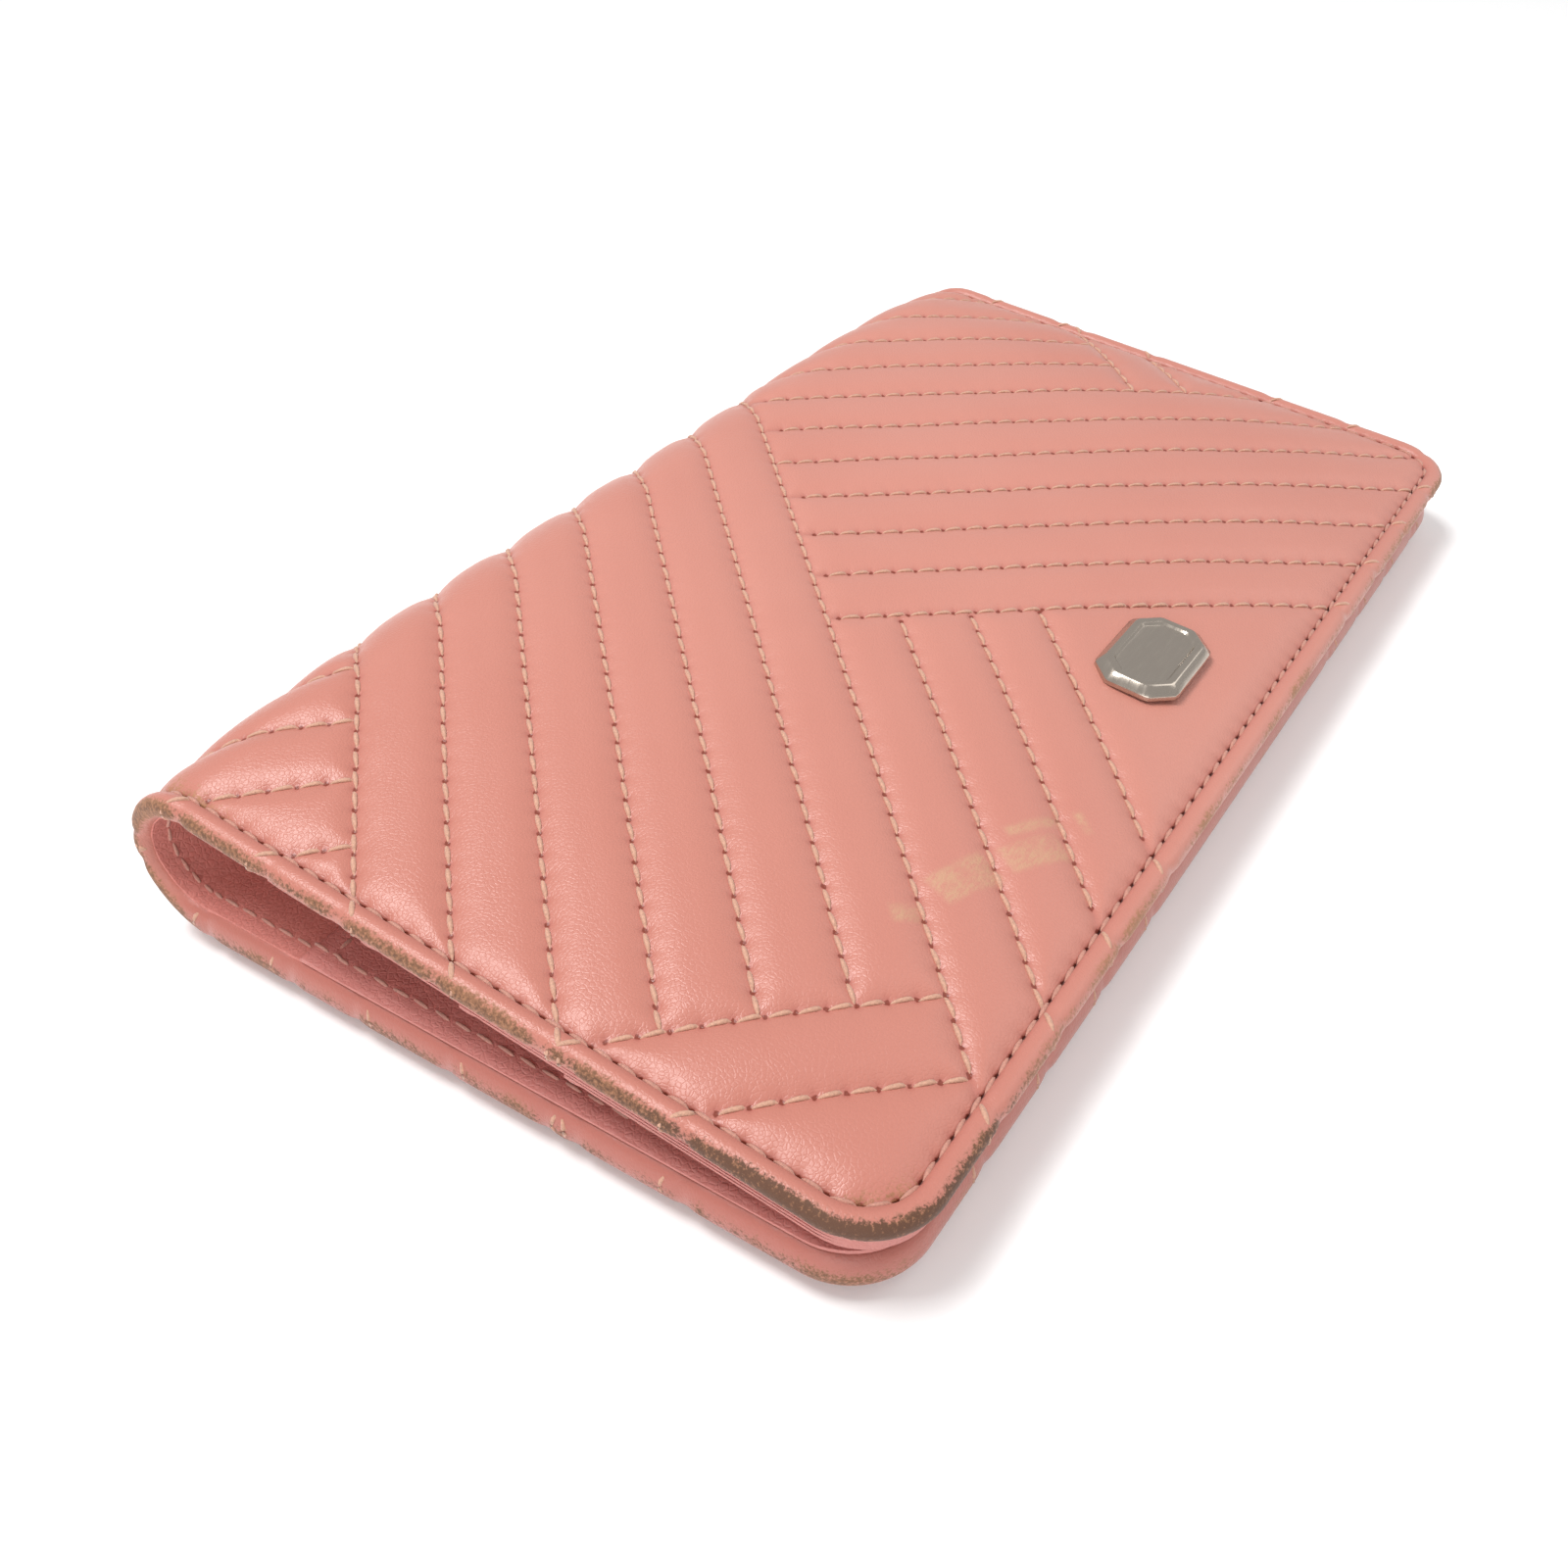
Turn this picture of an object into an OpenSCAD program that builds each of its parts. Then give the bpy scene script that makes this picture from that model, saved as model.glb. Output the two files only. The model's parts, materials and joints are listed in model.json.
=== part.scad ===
// Long bifold wallet: two padded leather leaves joined by a rounded leather spine, lying closed on its
// back leaf. X runs along the spine, -Y is the open long edge, +Y is the fold, +Z is up. The origin is
// the middle of the wallet on the surface that it lies on.
// Each leaf is drawn in its own frame: Y = 0 at the spine and negative towards the open edge, Z = 0 at the
// outer face of its stitched margin and positive outwards. A depth is a distance inwards from that face.

/* [Wallet] */
// Length along the spine
wallet_length = 190; // [175:1:205]
// Width from the open edge to the outside of the fold
wallet_width = 105; // [98:1:112]
// Outer radius of the rounded spine
spine_radius = 10.25; // [9.5:0.25:12]
// Angle of the front leaf above the back leaf when the wallet lies shut
front_tilt = 6.5; // [5.5:0.5:8]
// How far the open edge of the back leaf stays inside the open edge of the front leaf
back_recess = 1.3; // [0:0.1:2.5]
// Radius of the two free corners of each leaf
corner_radius = 10; // [7:0.5:12]

/* [Covers] */
// Thickness of the quilted cover leather
cover_leather = 1.2; // [0.8:0.1:1.4]
// Height of the padded crown of the front cover over its margin
front_crown = 3.2; // [2.8:0.1:4]
// Height of the padded crown of the back cover, which lifts the back margin off the table
back_crown = 2; // [1.8:0.1:2.4]
// Width of the turned edge under the stitched margin
turned_edge_width = 3; // [2:0.25:4]
// Thickness of the stiffening boards
board_thickness = 0.8; // [0.5:0.1:1]

/* [Lining and pockets] */
// Thickness of the lining leather
lining_leather = 0.5; // [0.3:0.1:0.6]
// Thickness of one card tier
tier_leather = 0.5; // [0.3:0.05:0.5]
// Distance from the spine seam to the mouth of the first card tier
first_tier = 13; // [12:1:16]
// Distance from the mouth of one card tier to the next
tier_step = 14; // [12:1:15]
// Distance from the spine seam to the mouth of the banknote pocket
note_pocket_mouth = 15.5; // [15.5:0.5:20]
// Thickness of the banknote pocket's leather
note_leather = 0.5; // [0.3:0.05:0.6]
// Thickness of the coin pocket's cloth
coin_cloth = 0.3; // [0.2:0.05:0.35]

/* [Zip] */
// Length of the row of teeth
zip_length = 160; // [140:2:166]
// Distance from one tooth to the next in a row
tooth_pitch = 2; // [2:0.1:3]
// Distance from the spine seam to the middle of the zip
zip_centre = 9; // [9:0.1:9.4]
// Length of the pull tab from its pin to its tip
pull_length = 9.5; // [8:0.1:9.5]

/* [Emblem] */
// Length of the emblem plate along the wallet
emblem_length = 18; // [14:1:22]
// Width of the emblem plate
emblem_width = 12; // [8:1:13]
// Distance from the open edge to the middle of the emblem
emblem_from_edge = 18; // [17:0.5:24]
// Distance of the emblem from the middle of the length
emblem_offset = 2.5; // [-5:0.5:5]

/* [Hidden] */
$fn = 48;
hinge_gap = 0.3;
half_gap = hinge_gap / 2;

// Spine circle, seen along X
spine_y = wallet_width / 2 - spine_radius;
spine_z = back_crown + spine_radius;
spine_turn = 180 + front_tilt;
strip_count = 3;
strip_turn = spine_turn / strip_count;
gap_turn = asin(half_gap / spine_radius);
spine_length = wallet_length - 3;

// Where the spine passes into the front leaf, and the length of each leaf from the spine to the open edge
seam_y = spine_y - spine_radius * sin(front_tilt);
seam_z = spine_z + spine_radius * cos(front_tilt);
back_length = wallet_width / 2 + spine_y - back_recess;
front_length = (wallet_width / 2 + seam_y) / cos(front_tilt);

// Crown of a cover: how far each level lies inside the outline, and its share of the crown's height
crown_insets = [4, 10, 22, 34];
crown_shares = [0, 0.56, 0.88, 1];
film = 0.02;

// Depths of the layers under a cover
board_depth = cover_leather;
lining_depth = board_depth + board_thickness;
panel_inset = 1;

// Back leaf: coin pocket between the board and the lining that frames the zip
coin_depth = lining_depth;
coin_space = 1.4;
coin_front_depth = coin_depth + coin_cloth + coin_space;
facing_depth = coin_front_depth + coin_cloth;
note_depth = facing_depth + lining_leather;
coin_gusset_width = 2;
hem_width = 4;
hem_thickness = 0.4;

// Front leaf: card tiers stacked on the lining
tier_depth = lining_depth + lining_leather;
tier_count = 3;

// Zip, measured from its middle line
tooth_size = [1.1, 2.0, 1.4];
tooth_gap = 0.4;
tape_width = 2.6;
tape_inner = tooth_gap + tooth_size[1];
tooth_depth = coin_front_depth + coin_cloth / 2;
slot_half_width = 3.5;
slot_length = zip_length + 4.4;
slider_length = 8;
slider_half_width = 3.2;
slider_plate = 0.5;
slider_play = 0.15;
slider_top = tooth_depth + tooth_size[2] / 2 + slider_play;
slider_bottom = tooth_depth - tooth_size[2] / 2 - slider_play;
slider_x = zip_length / 2 - slider_length / 2 - 3.5;
flange_width = 0.6;
web_half_width = 0.25;
pin_radius = 0.5;
pin_play = 0.1;
eye_radius = 1.05;
pin_rise = eye_radius + 0.2;
pin_depth = slider_top + slider_plate + pin_rise;
lug_width = 0.7;
pull_half_width = 1.4;
pull_thickness = 0.9;

// Stitches
stitch_pitch = 3.1;
stitch_size = [2.3, 0.7, 0.35];
stitch_inset = 3;

// Emblem
emblem_thickness = 1.8;
emblem_seat = 2.3;
emblem_bevel = 1.2;
post_radius = 0.9;
post_spacing = 10;
backing_size = [15, 8, 0.4];

// ---- frames of the two leaves ----

module back_leaf() {
    translate([0, spine_y, back_crown]) mirror([0, 0, 1]) children();
}

module front_leaf() {
    translate([0, seam_y, seam_z]) rotate([front_tilt, 0, 0]) children();
}

// ---- shapes that both leaves share ----

// Outline of a leaf: square at the spine, rounded at the two free corners
module leaf_outline(length, inset, spine_inset) {
    r = max(corner_radius - inset, 1);
    half = wallet_length / 2 - inset;
    edge = inset - length;
    translate([-half, edge + r]) square([2 * half, length - inset - r - spine_inset]);
    translate([r - half, edge]) square([2 * (half - r), r + 1]);
    for (side = [-1, 1])
        translate([side * (half - r), edge + r]) circle(r);
}

// A flat sheet with its outer face at the given depth
module sheet(length, inset, spine_inset, depth, thickness) {
    translate([0, 0, -depth - thickness])
        linear_extrude(thickness) leaf_outline(length, inset, spine_inset);
}

// Padded crown, shrunk by a wall thickness for the foam inside it
module crown(length, height, wall) {
    hull()
        for (i = [0 : len(crown_insets) - 1])
            translate([0, 0, i == 0 ? -cover_leather : height * crown_shares[i] - wall])
                linear_extrude(film)
                    leaf_outline(length, crown_insets[i] + wall, crown_insets[i] + wall, $fn = 32);
}

module quilted_cover(length, height) {
    difference() {
        union() {
            sheet(length, 0, half_gap, 0, cover_leather);
            crown(length, height, 0);
        }
        crown(length, height, cover_leather);
        translate([0, 0, -1]) crown(length, height, cover_leather);
    }
}

// Turned edge: the cover leather folded under along the three free sides
module turned_edge(length, thickness) {
    difference() {
        sheet(length, 0, half_gap, cover_leather, thickness);
        translate([0, 1, 0]) sheet(length + 1, turned_edge_width, 0, cover_leather - 1, thickness + 2);
    }
}

module stitch(angle) {
    rotate([0, 0, angle])
        translate([-stitch_size[0] / 2, -stitch_size[1] / 2, 0])
            cube(stitch_size);
}

// Perimeter stitches on the margin: two short sides, the long edge and the two corners
module edge_stitches(length) {
    r = corner_radius - stitch_inset;
    half = wallet_length / 2 - stitch_inset;
    side_count = floor((length - corner_radius - 2) / stitch_pitch);
    edge_count = floor((half - r) / stitch_pitch);
    corner_count = round(r * PI / 2 / stitch_pitch) - 1;
    for (side = [-1, 1]) {
        for (i = [0 : side_count - 1])
            translate([side * half, -2 - (i + 0.5) * stitch_pitch, 0]) stitch(90);
        for (i = [0 : corner_count])
            translate([side * (half - r), corner_radius - length, 0])
                mirror([side < 0 ? 1 : 0, 0, 0])
                    rotate([0, 0, -90 * (i + 0.5) / (corner_count + 1)])
                        translate([r, 0, 0]) stitch(90);
    }
    for (i = [-edge_count : edge_count])
        translate([i * stitch_pitch, stitch_inset - length, 0]) stitch(0);
}

// One strip of the spine between two radii
module spine_strip(index, outer, thickness) {
    start = (index - 1) * strip_turn + gap_turn;
    end = index * strip_turn - gap_turn;
    reach = 2 * spine_radius;
    translate([-spine_length / 2, spine_y, spine_z]) rotate([90, 0, 90])
        linear_extrude(spine_length)
            intersection() {
                difference() {
                    circle(outer, $fn = 96);
                    circle(outer - thickness, $fn = 96);
                }
                polygon([[0, 0], reach * [sin(start), -cos(start)], reach * [sin(end), -cos(end)]]);
            }
}

module spine_cover(index) {
    color([0.86, 0.56, 0.52]) spine_strip(index, spine_radius, cover_leather);
}

module spine_lining(index) {
    color([0.70, 0.38, 0.38]) spine_strip(index, spine_radius - cover_leather, lining_leather);
}

// ---- back leaf ----

module back_cover() {
    color([0.86, 0.56, 0.52]) back_leaf() quilted_cover(back_length, back_crown);
}

module back_foam() {
    color([0.93, 0.91, 0.86]) back_leaf() crown(back_length, back_crown, cover_leather);
}

module back_turned_edge() {
    color([0.80, 0.50, 0.45]) back_leaf() turned_edge(back_length, facing_depth - cover_leather);
}

module back_board() {
    color([0.75, 0.70, 0.62]) back_leaf()
        sheet(back_length, turned_edge_width, 1, board_depth, board_thickness);
}

// Lining of the back leaf, which also frames the slot of the zip
module back_lining() {
    color([0.72, 0.40, 0.40]) back_leaf()
        difference() {
            sheet(back_length, panel_inset, half_gap, facing_depth, lining_leather);
            translate([-slot_length / 2, -zip_centre - slot_half_width, -note_depth - 1])
                cube([slot_length, 2 * slot_half_width, lining_leather + 2]);
        }
}

module back_edge_thread() {
    color([0.84, 0.66, 0.50]) back_leaf() edge_stitches(back_length);
}

module coin_pocket_rear() {
    color([0.55, 0.30, 0.32]) back_leaf()
        sheet(back_length, turned_edge_width + 1, 1, coin_depth, coin_cloth);
}

module coin_pocket_gusset() {
    gusset_depth = coin_depth + coin_cloth;
    color([0.55, 0.30, 0.32]) back_leaf()
        difference() {
            sheet(back_length, turned_edge_width + 1, 1, gusset_depth, coin_space);
            sheet(back_length, turned_edge_width + 1 + coin_gusset_width, 1 + coin_gusset_width,
                gusset_depth - 1, coin_space + 2);
        }
}

module coin_pocket_front() {
    color([0.55, 0.30, 0.32]) back_leaf()
        sheet(back_length, turned_edge_width + 1, zip_centre + tape_inner + tape_width,
            coin_front_depth, coin_cloth);
}

// side is 1 towards the spine and -1 towards the open edge
module zip_tape(side) {
    y = side > 0 ? tape_inner : -tape_inner - tape_width;
    color([0.78, 0.50, 0.48]) back_leaf()
        translate([-zip_length / 2 - 2, y - zip_centre, -coin_front_depth - coin_cloth])
            cube([zip_length + 4, tape_width, coin_cloth]);
}

module zip_teeth(side) {
    count = floor(zip_length / tooth_pitch) - 1;
    shift = side > 0 ? 0.25 * tooth_pitch : 0.75 * tooth_pitch;
    y = side * (tooth_gap + tooth_size[1] / 2);
    color([0.80, 0.76, 0.68]) back_leaf()
        for (i = [0 : count - 1])
            translate([i * tooth_pitch + shift - zip_length / 2, y - zip_centre, -tooth_depth])
                cube(tooth_size, center = true);
}

module zip_stops() {
    stop_size = [1.5, 2 * tape_inner, tooth_size[2]];
    color([0.80, 0.76, 0.68]) back_leaf()
        for (end = [-1, 1])
            translate([end * (zip_length / 2 + 1), -zip_centre, -tooth_depth])
                cube(stop_size, center = true);
}

module note_pocket() {
    color([0.76, 0.43, 0.43]) back_leaf()
        sheet(back_length, panel_inset, note_pocket_mouth, note_depth, note_leather);
}

module note_pocket_hem() {
    half = wallet_length / 2 - panel_inset;
    color([0.74, 0.41, 0.41]) back_leaf()
        translate([-half, -note_pocket_mouth - hem_width, -note_depth - note_leather - hem_thickness])
            cube([2 * half, hem_width, hem_thickness]);
}

module note_pocket_thread() {
    count = floor((wallet_length / 2 - 5) / stitch_pitch);
    depth = note_depth + note_leather + hem_thickness;
    color([0.84, 0.66, 0.50]) back_leaf()
        for (i = [-count : count])
            translate([i * stitch_pitch, -note_pocket_mouth - hem_width + 1, -depth - stitch_size[2]])
                stitch(0);
}

// ---- zip slider and pull ----

// One wing of the slider, its inner face at the given depth, with flanges that reach towards the tapes
module slider_wing(depth, direction, flange) {
    width = 2 * slider_half_width;
    low = direction > 0 ? -depth - slider_plate : -depth;
    flange_low = direction > 0 ? -depth : -depth - flange;
    translate([-slider_length / 2, -slider_half_width, low])
        cube([slider_length, width, slider_plate]);
    for (side = [-1, 1])
        translate([-slider_length / 2, side * (slider_half_width - flange_width / 2) - flange_width / 2,
            flange_low])
            cube([slider_length, flange_width, flange]);
}

module zip_slider() {
    tape_play = 0.2;
    tape_top = coin_front_depth + coin_cloth;
    lug_height = pin_rise + pin_radius + 0.3;
    lug_centre = pull_half_width + 0.2 + lug_width / 2;
    color([0.82, 0.78, 0.70]) back_leaf() translate([slider_x, -zip_centre, 0]) {
        slider_wing(slider_top, 1, slider_top - tape_top - tape_play);
        slider_wing(slider_bottom, -1, coin_front_depth - slider_bottom - tape_play);
        translate([slider_length / 2 - 2.2, -web_half_width, -slider_top - slider_plate / 2])
            cube([2, 2 * web_half_width, slider_top - slider_bottom + slider_plate]);
        for (side = [-1, 1])
            translate([0, side * lug_centre, -slider_top - slider_plate - lug_height / 2])
                cube([2.4, lug_width, lug_height + 0.1], center = true);
        translate([0, 0, -pin_depth]) rotate([90, 0, 0])
            cylinder(h = 2 * lug_centre, r = pin_radius, center = true);
    }
}

module zip_pull() {
    color([0.82, 0.78, 0.70]) back_leaf() translate([slider_x, -zip_centre, -pin_depth])
        difference() {
            union() {
                rotate([90, 0, 0]) cylinder(h = 2 * pull_half_width, r = eye_radius, center = true);
                translate([-pull_length + pull_half_width, -pull_half_width, -pull_thickness / 2])
                    cube([pull_length - pull_half_width, 2 * pull_half_width, pull_thickness]);
                translate([-pull_length + pull_half_width, 0, -pull_thickness / 2])
                    cylinder(h = pull_thickness, r = pull_half_width);
            }
            rotate([90, 0, 0])
                cylinder(h = 2 * pull_half_width + 1, r = pin_radius + pin_play, center = true);
            translate([-pull_length + pull_half_width + 0.4, 0, -pull_thickness])
                cylinder(h = 2 * pull_thickness, r = 0.8);
        }
}

// ---- front leaf ----

module emblem_pocket() {
    translate([emblem_offset, emblem_from_edge - front_length, 0]) children();
}

module front_cover() {
    color([0.88, 0.60, 0.55]) front_leaf()
        difference() {
            quilted_cover(front_length, front_crown);
            emblem_pocket() {
                translate([-emblem_length / 2 - 1, -emblem_width / 2 - 1, emblem_seat])
                    cube([emblem_length + 2, emblem_width + 2, front_crown]);
                for (side = [-1, 1])
                    translate([side * post_spacing / 2, 0, -5]) cylinder(h = 10, r = post_radius);
            }
        }
}

module front_foam() {
    color([0.93, 0.91, 0.86]) front_leaf()
        difference() {
            crown(front_length, front_crown, cover_leather);
            emblem_pocket() {
                translate([-emblem_length / 2 - 1, -emblem_width / 2 - 1, emblem_seat - cover_leather])
                    cube([emblem_length + 2, emblem_width + 2, front_crown]);
                for (side = [-1, 1])
                    translate([side * post_spacing / 2, 0, -5]) cylinder(h = 10, r = post_radius);
            }
        }
}

module front_turned_edge() {
    color([0.80, 0.50, 0.45]) front_leaf() turned_edge(front_length, tier_depth - cover_leather);
}

module front_board() {
    color([0.75, 0.70, 0.62]) front_leaf()
        difference() {
            sheet(front_length, turned_edge_width, 1, board_depth, board_thickness);
            emblem_pocket()
                translate([-backing_size[0] / 2, -backing_size[1] / 2, -board_depth - backing_size[2]])
                    cube([backing_size[0], backing_size[1], 2 * backing_size[2]]);
        }
}

module front_lining() {
    color([0.70, 0.38, 0.38]) front_leaf()
        sheet(front_length, turned_edge_width, half_gap, lining_depth, lining_leather);
}

module front_edge_thread() {
    color([0.84, 0.66, 0.50]) front_leaf() edge_stitches(front_length);
}

// A card tier: each starts one step further from the spine and lies over the one before
module card_tier(index) {
    color([0.76, 0.43, 0.43]) front_leaf()
        sheet(front_length, panel_inset, first_tier + (index - 1) * tier_step,
            tier_depth + (index - 1) * tier_leather, tier_leather);
}

module card_front_panel() {
    color([0.74, 0.41, 0.41]) front_leaf()
        sheet(front_length, panel_inset, first_tier + tier_count * tier_step,
            tier_depth + tier_count * tier_leather, lining_leather);
}

// Stitches that part the tiers into a left and a right column, one run on the band of each tier
module card_divider_thread() {
    run = floor((tier_step - 3) / stitch_pitch);
    color([0.84, 0.66, 0.50]) front_leaf()
        for (tier = [1 : tier_count])
            for (i = [0 : run - 1])
                translate([0, -first_tier - (tier - 1) * tier_step - 2 - (i + 0.5) * stitch_pitch,
                    -tier_depth - tier * tier_leather - stitch_size[2]])
                    stitch(90);
}

// Outline of the emblem plate: a bar with its four corners cut
module emblem_outline(shrink) {
    half_length = emblem_length / 2 - shrink;
    half_width = emblem_width / 2 - shrink;
    cut = emblem_width / 4;
    polygon([
        [-half_length, -half_width + cut], [-half_length + cut, -half_width],
        [half_length - cut, -half_width], [half_length, -half_width + cut],
        [half_length, half_width - cut], [half_length - cut, half_width],
        [-half_length + cut, half_width], [-half_length, half_width - cut]
    ]);
}

module emblem_plate() {
    color([0.84, 0.80, 0.74]) front_leaf() emblem_pocket() translate([0, 0, emblem_seat])
        hull() {
            linear_extrude(emblem_thickness / 2) emblem_outline(0);
            linear_extrude(emblem_thickness) emblem_outline(emblem_bevel);
        }
}

module emblem_posts() {
    color([0.84, 0.80, 0.74]) front_leaf() emblem_pocket()
        for (side = [-1, 1])
            translate([side * post_spacing / 2, 0, -cover_leather])
                cylinder(h = cover_leather + emblem_seat, r = post_radius);
}

module emblem_backing() {
    color([0.70, 0.68, 0.64]) front_leaf() emblem_pocket()
        translate([-backing_size[0] / 2, -backing_size[1] / 2, -board_depth - backing_size[2]])
            cube(backing_size);
}

back_cover();
back_foam();
back_turned_edge();
back_board();
back_lining();
back_edge_thread();
coin_pocket_rear();
coin_pocket_gusset();
coin_pocket_front();
zip_tape(1);  // zip_tape_spine_side
zip_tape(-1);  // zip_tape_edge_side
zip_teeth(1);  // zip_teeth_spine_side
zip_teeth(-1);  // zip_teeth_edge_side
zip_stops();
note_pocket();
note_pocket_hem();
note_pocket_thread();
zip_slider();
zip_pull();
spine_cover(1);  // spine_cover_1
spine_cover(2);  // spine_cover_2
spine_cover(3);  // spine_cover_3
spine_lining(1);  // spine_lining_1
spine_lining(2);  // spine_lining_2
spine_lining(3);  // spine_lining_3
front_cover();
front_foam();
front_turned_edge();
front_board();
front_lining();
front_edge_thread();
card_tier(1);  // card_tier_1
card_tier(2);  // card_tier_2
card_tier(3);  // card_tier_3
card_front_panel();
card_divider_thread();
emblem_plate();
emblem_posts();
emblem_backing();
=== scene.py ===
import json
import math

import bpy
import numpy as np
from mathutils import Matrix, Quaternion, Vector


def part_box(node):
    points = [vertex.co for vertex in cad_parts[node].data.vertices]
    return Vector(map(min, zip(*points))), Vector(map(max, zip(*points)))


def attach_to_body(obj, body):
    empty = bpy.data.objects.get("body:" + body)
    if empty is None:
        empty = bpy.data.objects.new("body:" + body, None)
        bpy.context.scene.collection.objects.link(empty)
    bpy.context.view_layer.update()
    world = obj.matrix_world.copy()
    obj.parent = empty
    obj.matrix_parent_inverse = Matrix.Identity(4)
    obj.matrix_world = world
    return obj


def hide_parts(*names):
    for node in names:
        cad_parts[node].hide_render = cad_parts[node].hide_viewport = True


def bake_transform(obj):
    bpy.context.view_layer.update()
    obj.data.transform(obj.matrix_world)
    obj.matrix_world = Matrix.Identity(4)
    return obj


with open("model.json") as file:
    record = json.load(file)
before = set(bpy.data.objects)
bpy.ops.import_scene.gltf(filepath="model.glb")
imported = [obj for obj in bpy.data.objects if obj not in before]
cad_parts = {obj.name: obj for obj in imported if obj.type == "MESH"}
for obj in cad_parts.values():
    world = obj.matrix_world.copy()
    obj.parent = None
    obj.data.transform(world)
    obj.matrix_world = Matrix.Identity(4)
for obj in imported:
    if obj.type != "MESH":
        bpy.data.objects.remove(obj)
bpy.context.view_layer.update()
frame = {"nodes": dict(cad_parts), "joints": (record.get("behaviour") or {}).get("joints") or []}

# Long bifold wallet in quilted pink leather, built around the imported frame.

MM = 0.001
rng = np.random.default_rng(7)


# ---- dimensions, in millimetres, taken from the frame ----

def low(node):
    """A node's lowest corner."""
    return np.array(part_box(node)[0]) / MM


def high(node):
    return np.array(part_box(node)[1]) / MM


HINGE = {j["name"]: np.array(j["pos_m"]) / MM for j in frame["joints"] if j["type"] == "hinge"}
SPINE_Y, EDGE_LIFT = HINGE["fold_back"][1:]
RADIUS = high("spine_cover_2")[1] - SPINE_Y
SPINE_Z = EDGE_LIFT + RADIUS
SEAM_Y, SEAM_Z = HINGE["fold_front"][1:]
TILT = math.asin((SPINE_Y - SEAM_Y) / RADIUS)
HALF = high("front_cover")[0]
OPEN_Y = low("front_cover")[1]
FRONT = (SEAM_Y - OPEN_Y) / math.cos(TILT)
ARC = RADIUS * (math.pi + TILT)
BACK = SPINE_Y - low("back_cover")[1]
TOTAL = FRONT + ARC + BACK
MIDDLE = FRONT + ARC / 2
STRIP = ARC / 3

# The cover is one sheet. x runs along the spine, and w runs from the front's open edge, over the
# spine, to the back's open edge.
MARGIN = 3.0           # from the edge to the perimeter stitches
CORNER = 9.5           # corner radius of the sheet
SIDE = HALF - MARGIN
CREASE = 0.37          # how deep the stitches pull the leather in
FRONT_CROWN = 3.4
BACK_CROWN = 1.6
PUFF = 0.9             # how far the padding lifts the leather between the stitches
PUFF_REACH = 4.6       # distance from the stitches at which it is fully lifted

# Quilting: lines at one angle, rising or falling towards the far end, in bands of one pitch
ANGLE = math.radians(44)
PITCH = 10.1
RISE_FIRST = 114.2     # offset of the first rising line, by the spine's near end
FALL_MAIN = 27.1       # offset of the falling line that passes the emblem
FALL_CORNER = -46.7    # offset of the falling line across the near free corner
FALL_SPINE = -6.1      # offset of the first falling line by the spine's near end
RISE_FAR = -13.7       # offset of the rising line by the far short edge
DIVIDER = 6            # the rising line that the main falling lines start from
RISING = 10            # rising lines in the main band
FROM_SIDE = 3          # how many of them start at the near short edge
BY_SPINE = 6           # falling lines by the spine's near end
FALLING = 13           # falling lines in the main band
CUT_SHORT = (7, 8)     # those of them that start at the far corner's first rising line
AT_FAR_END = 2         # rising lines by the far short edge
RISE, FALL = 1, -1
QUILT_STITCH = 3.25    # pitch of the quilting stitches
EDGE_STITCH = 3.1      # pitch of all the others

EMBLEM_WIDTH = 12.0
EMBLEM_LENGTH = high("emblem_plate")[0] - low("emblem_plate")[0]
EMBLEM_X = (low("emblem_plate")[0] + high("emblem_plate")[0]) / 2
EMBLEM_W = ((low("emblem_plate")[1] + high("emblem_plate")[1]) / 2 - OPEN_Y) / math.cos(TILT)


# ---- the sheet's shape ----

def frame_at(w):
    """Point (y, z), outward normal and tangent along w of the plain sheet."""
    phi = np.clip(math.pi + TILT - (w - FRONT) / RADIUS, 0, math.pi + TILT)
    ny, nz = np.sin(phi), -np.cos(phi)
    front = np.maximum(FRONT - w, 0)
    back = np.maximum(w - FRONT - ARC, 0)
    y = SPINE_Y + RADIUS * ny - front * math.cos(TILT) - back
    z = SPINE_Z + RADIUS * nz - front * math.sin(TILT)
    return y, z, ny, nz, -np.cos(phi), -np.sin(phi)


def place(x, w, n):
    """World coordinates, in millimetres, of sheet points lifted by n along the outward normal."""
    y, z, ny, nz, _, _ = frame_at(w)
    return np.stack([x, y + ny * n, z + nz * n], -1)


def smoothstep(a, b, v):
    t = np.clip((v - a) / (b - a), 0, 1)
    return t * t * (3 - 2 * t)


def crown(x, w):
    """Height of the stitched valleys over the margin."""
    across = 1 - np.abs(np.clip(x / SIDE, -1, 1)) ** np.where(x < 0, 4, 9)
    front = 1 - np.clip((FRONT - w) / (FRONT - MARGIN), 0, 1) ** 5
    back = 1 - np.clip((w - FRONT - ARC) / (BACK - MARGIN), 0, 1) ** 6
    height = FRONT_CROWN + (BACK_CROWN - FRONT_CROWN) * smoothstep(FRONT, FRONT + 0.9 * ARC, w)
    spine = 1 - 0.22 * np.exp(-((w - FRONT - 0.3 * ARC) / 15.0) ** 2)
    return height * across * front * back * spine


def x_at(way, offset, w):
    """x on a rising or falling line at w."""
    return way * (w * math.cos(ANGLE) - offset) / math.sin(ANGLE)


def w_at(way, offset, x):
    """w on a rising or falling line at x."""
    return (offset + way * x * math.sin(ANGLE)) / math.cos(ANGLE)


def meet(rising, falling):
    """w where a rising and a falling line cross."""
    return (rising + falling) / (2 * math.cos(ANGLE))


def mirrored(w):
    """The place on the back that matches w on the front: only the margin at the open edge moves."""
    return TOTAL - w if w < MARGIN + 0.01 else 2 * MIDDLE - w


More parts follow.
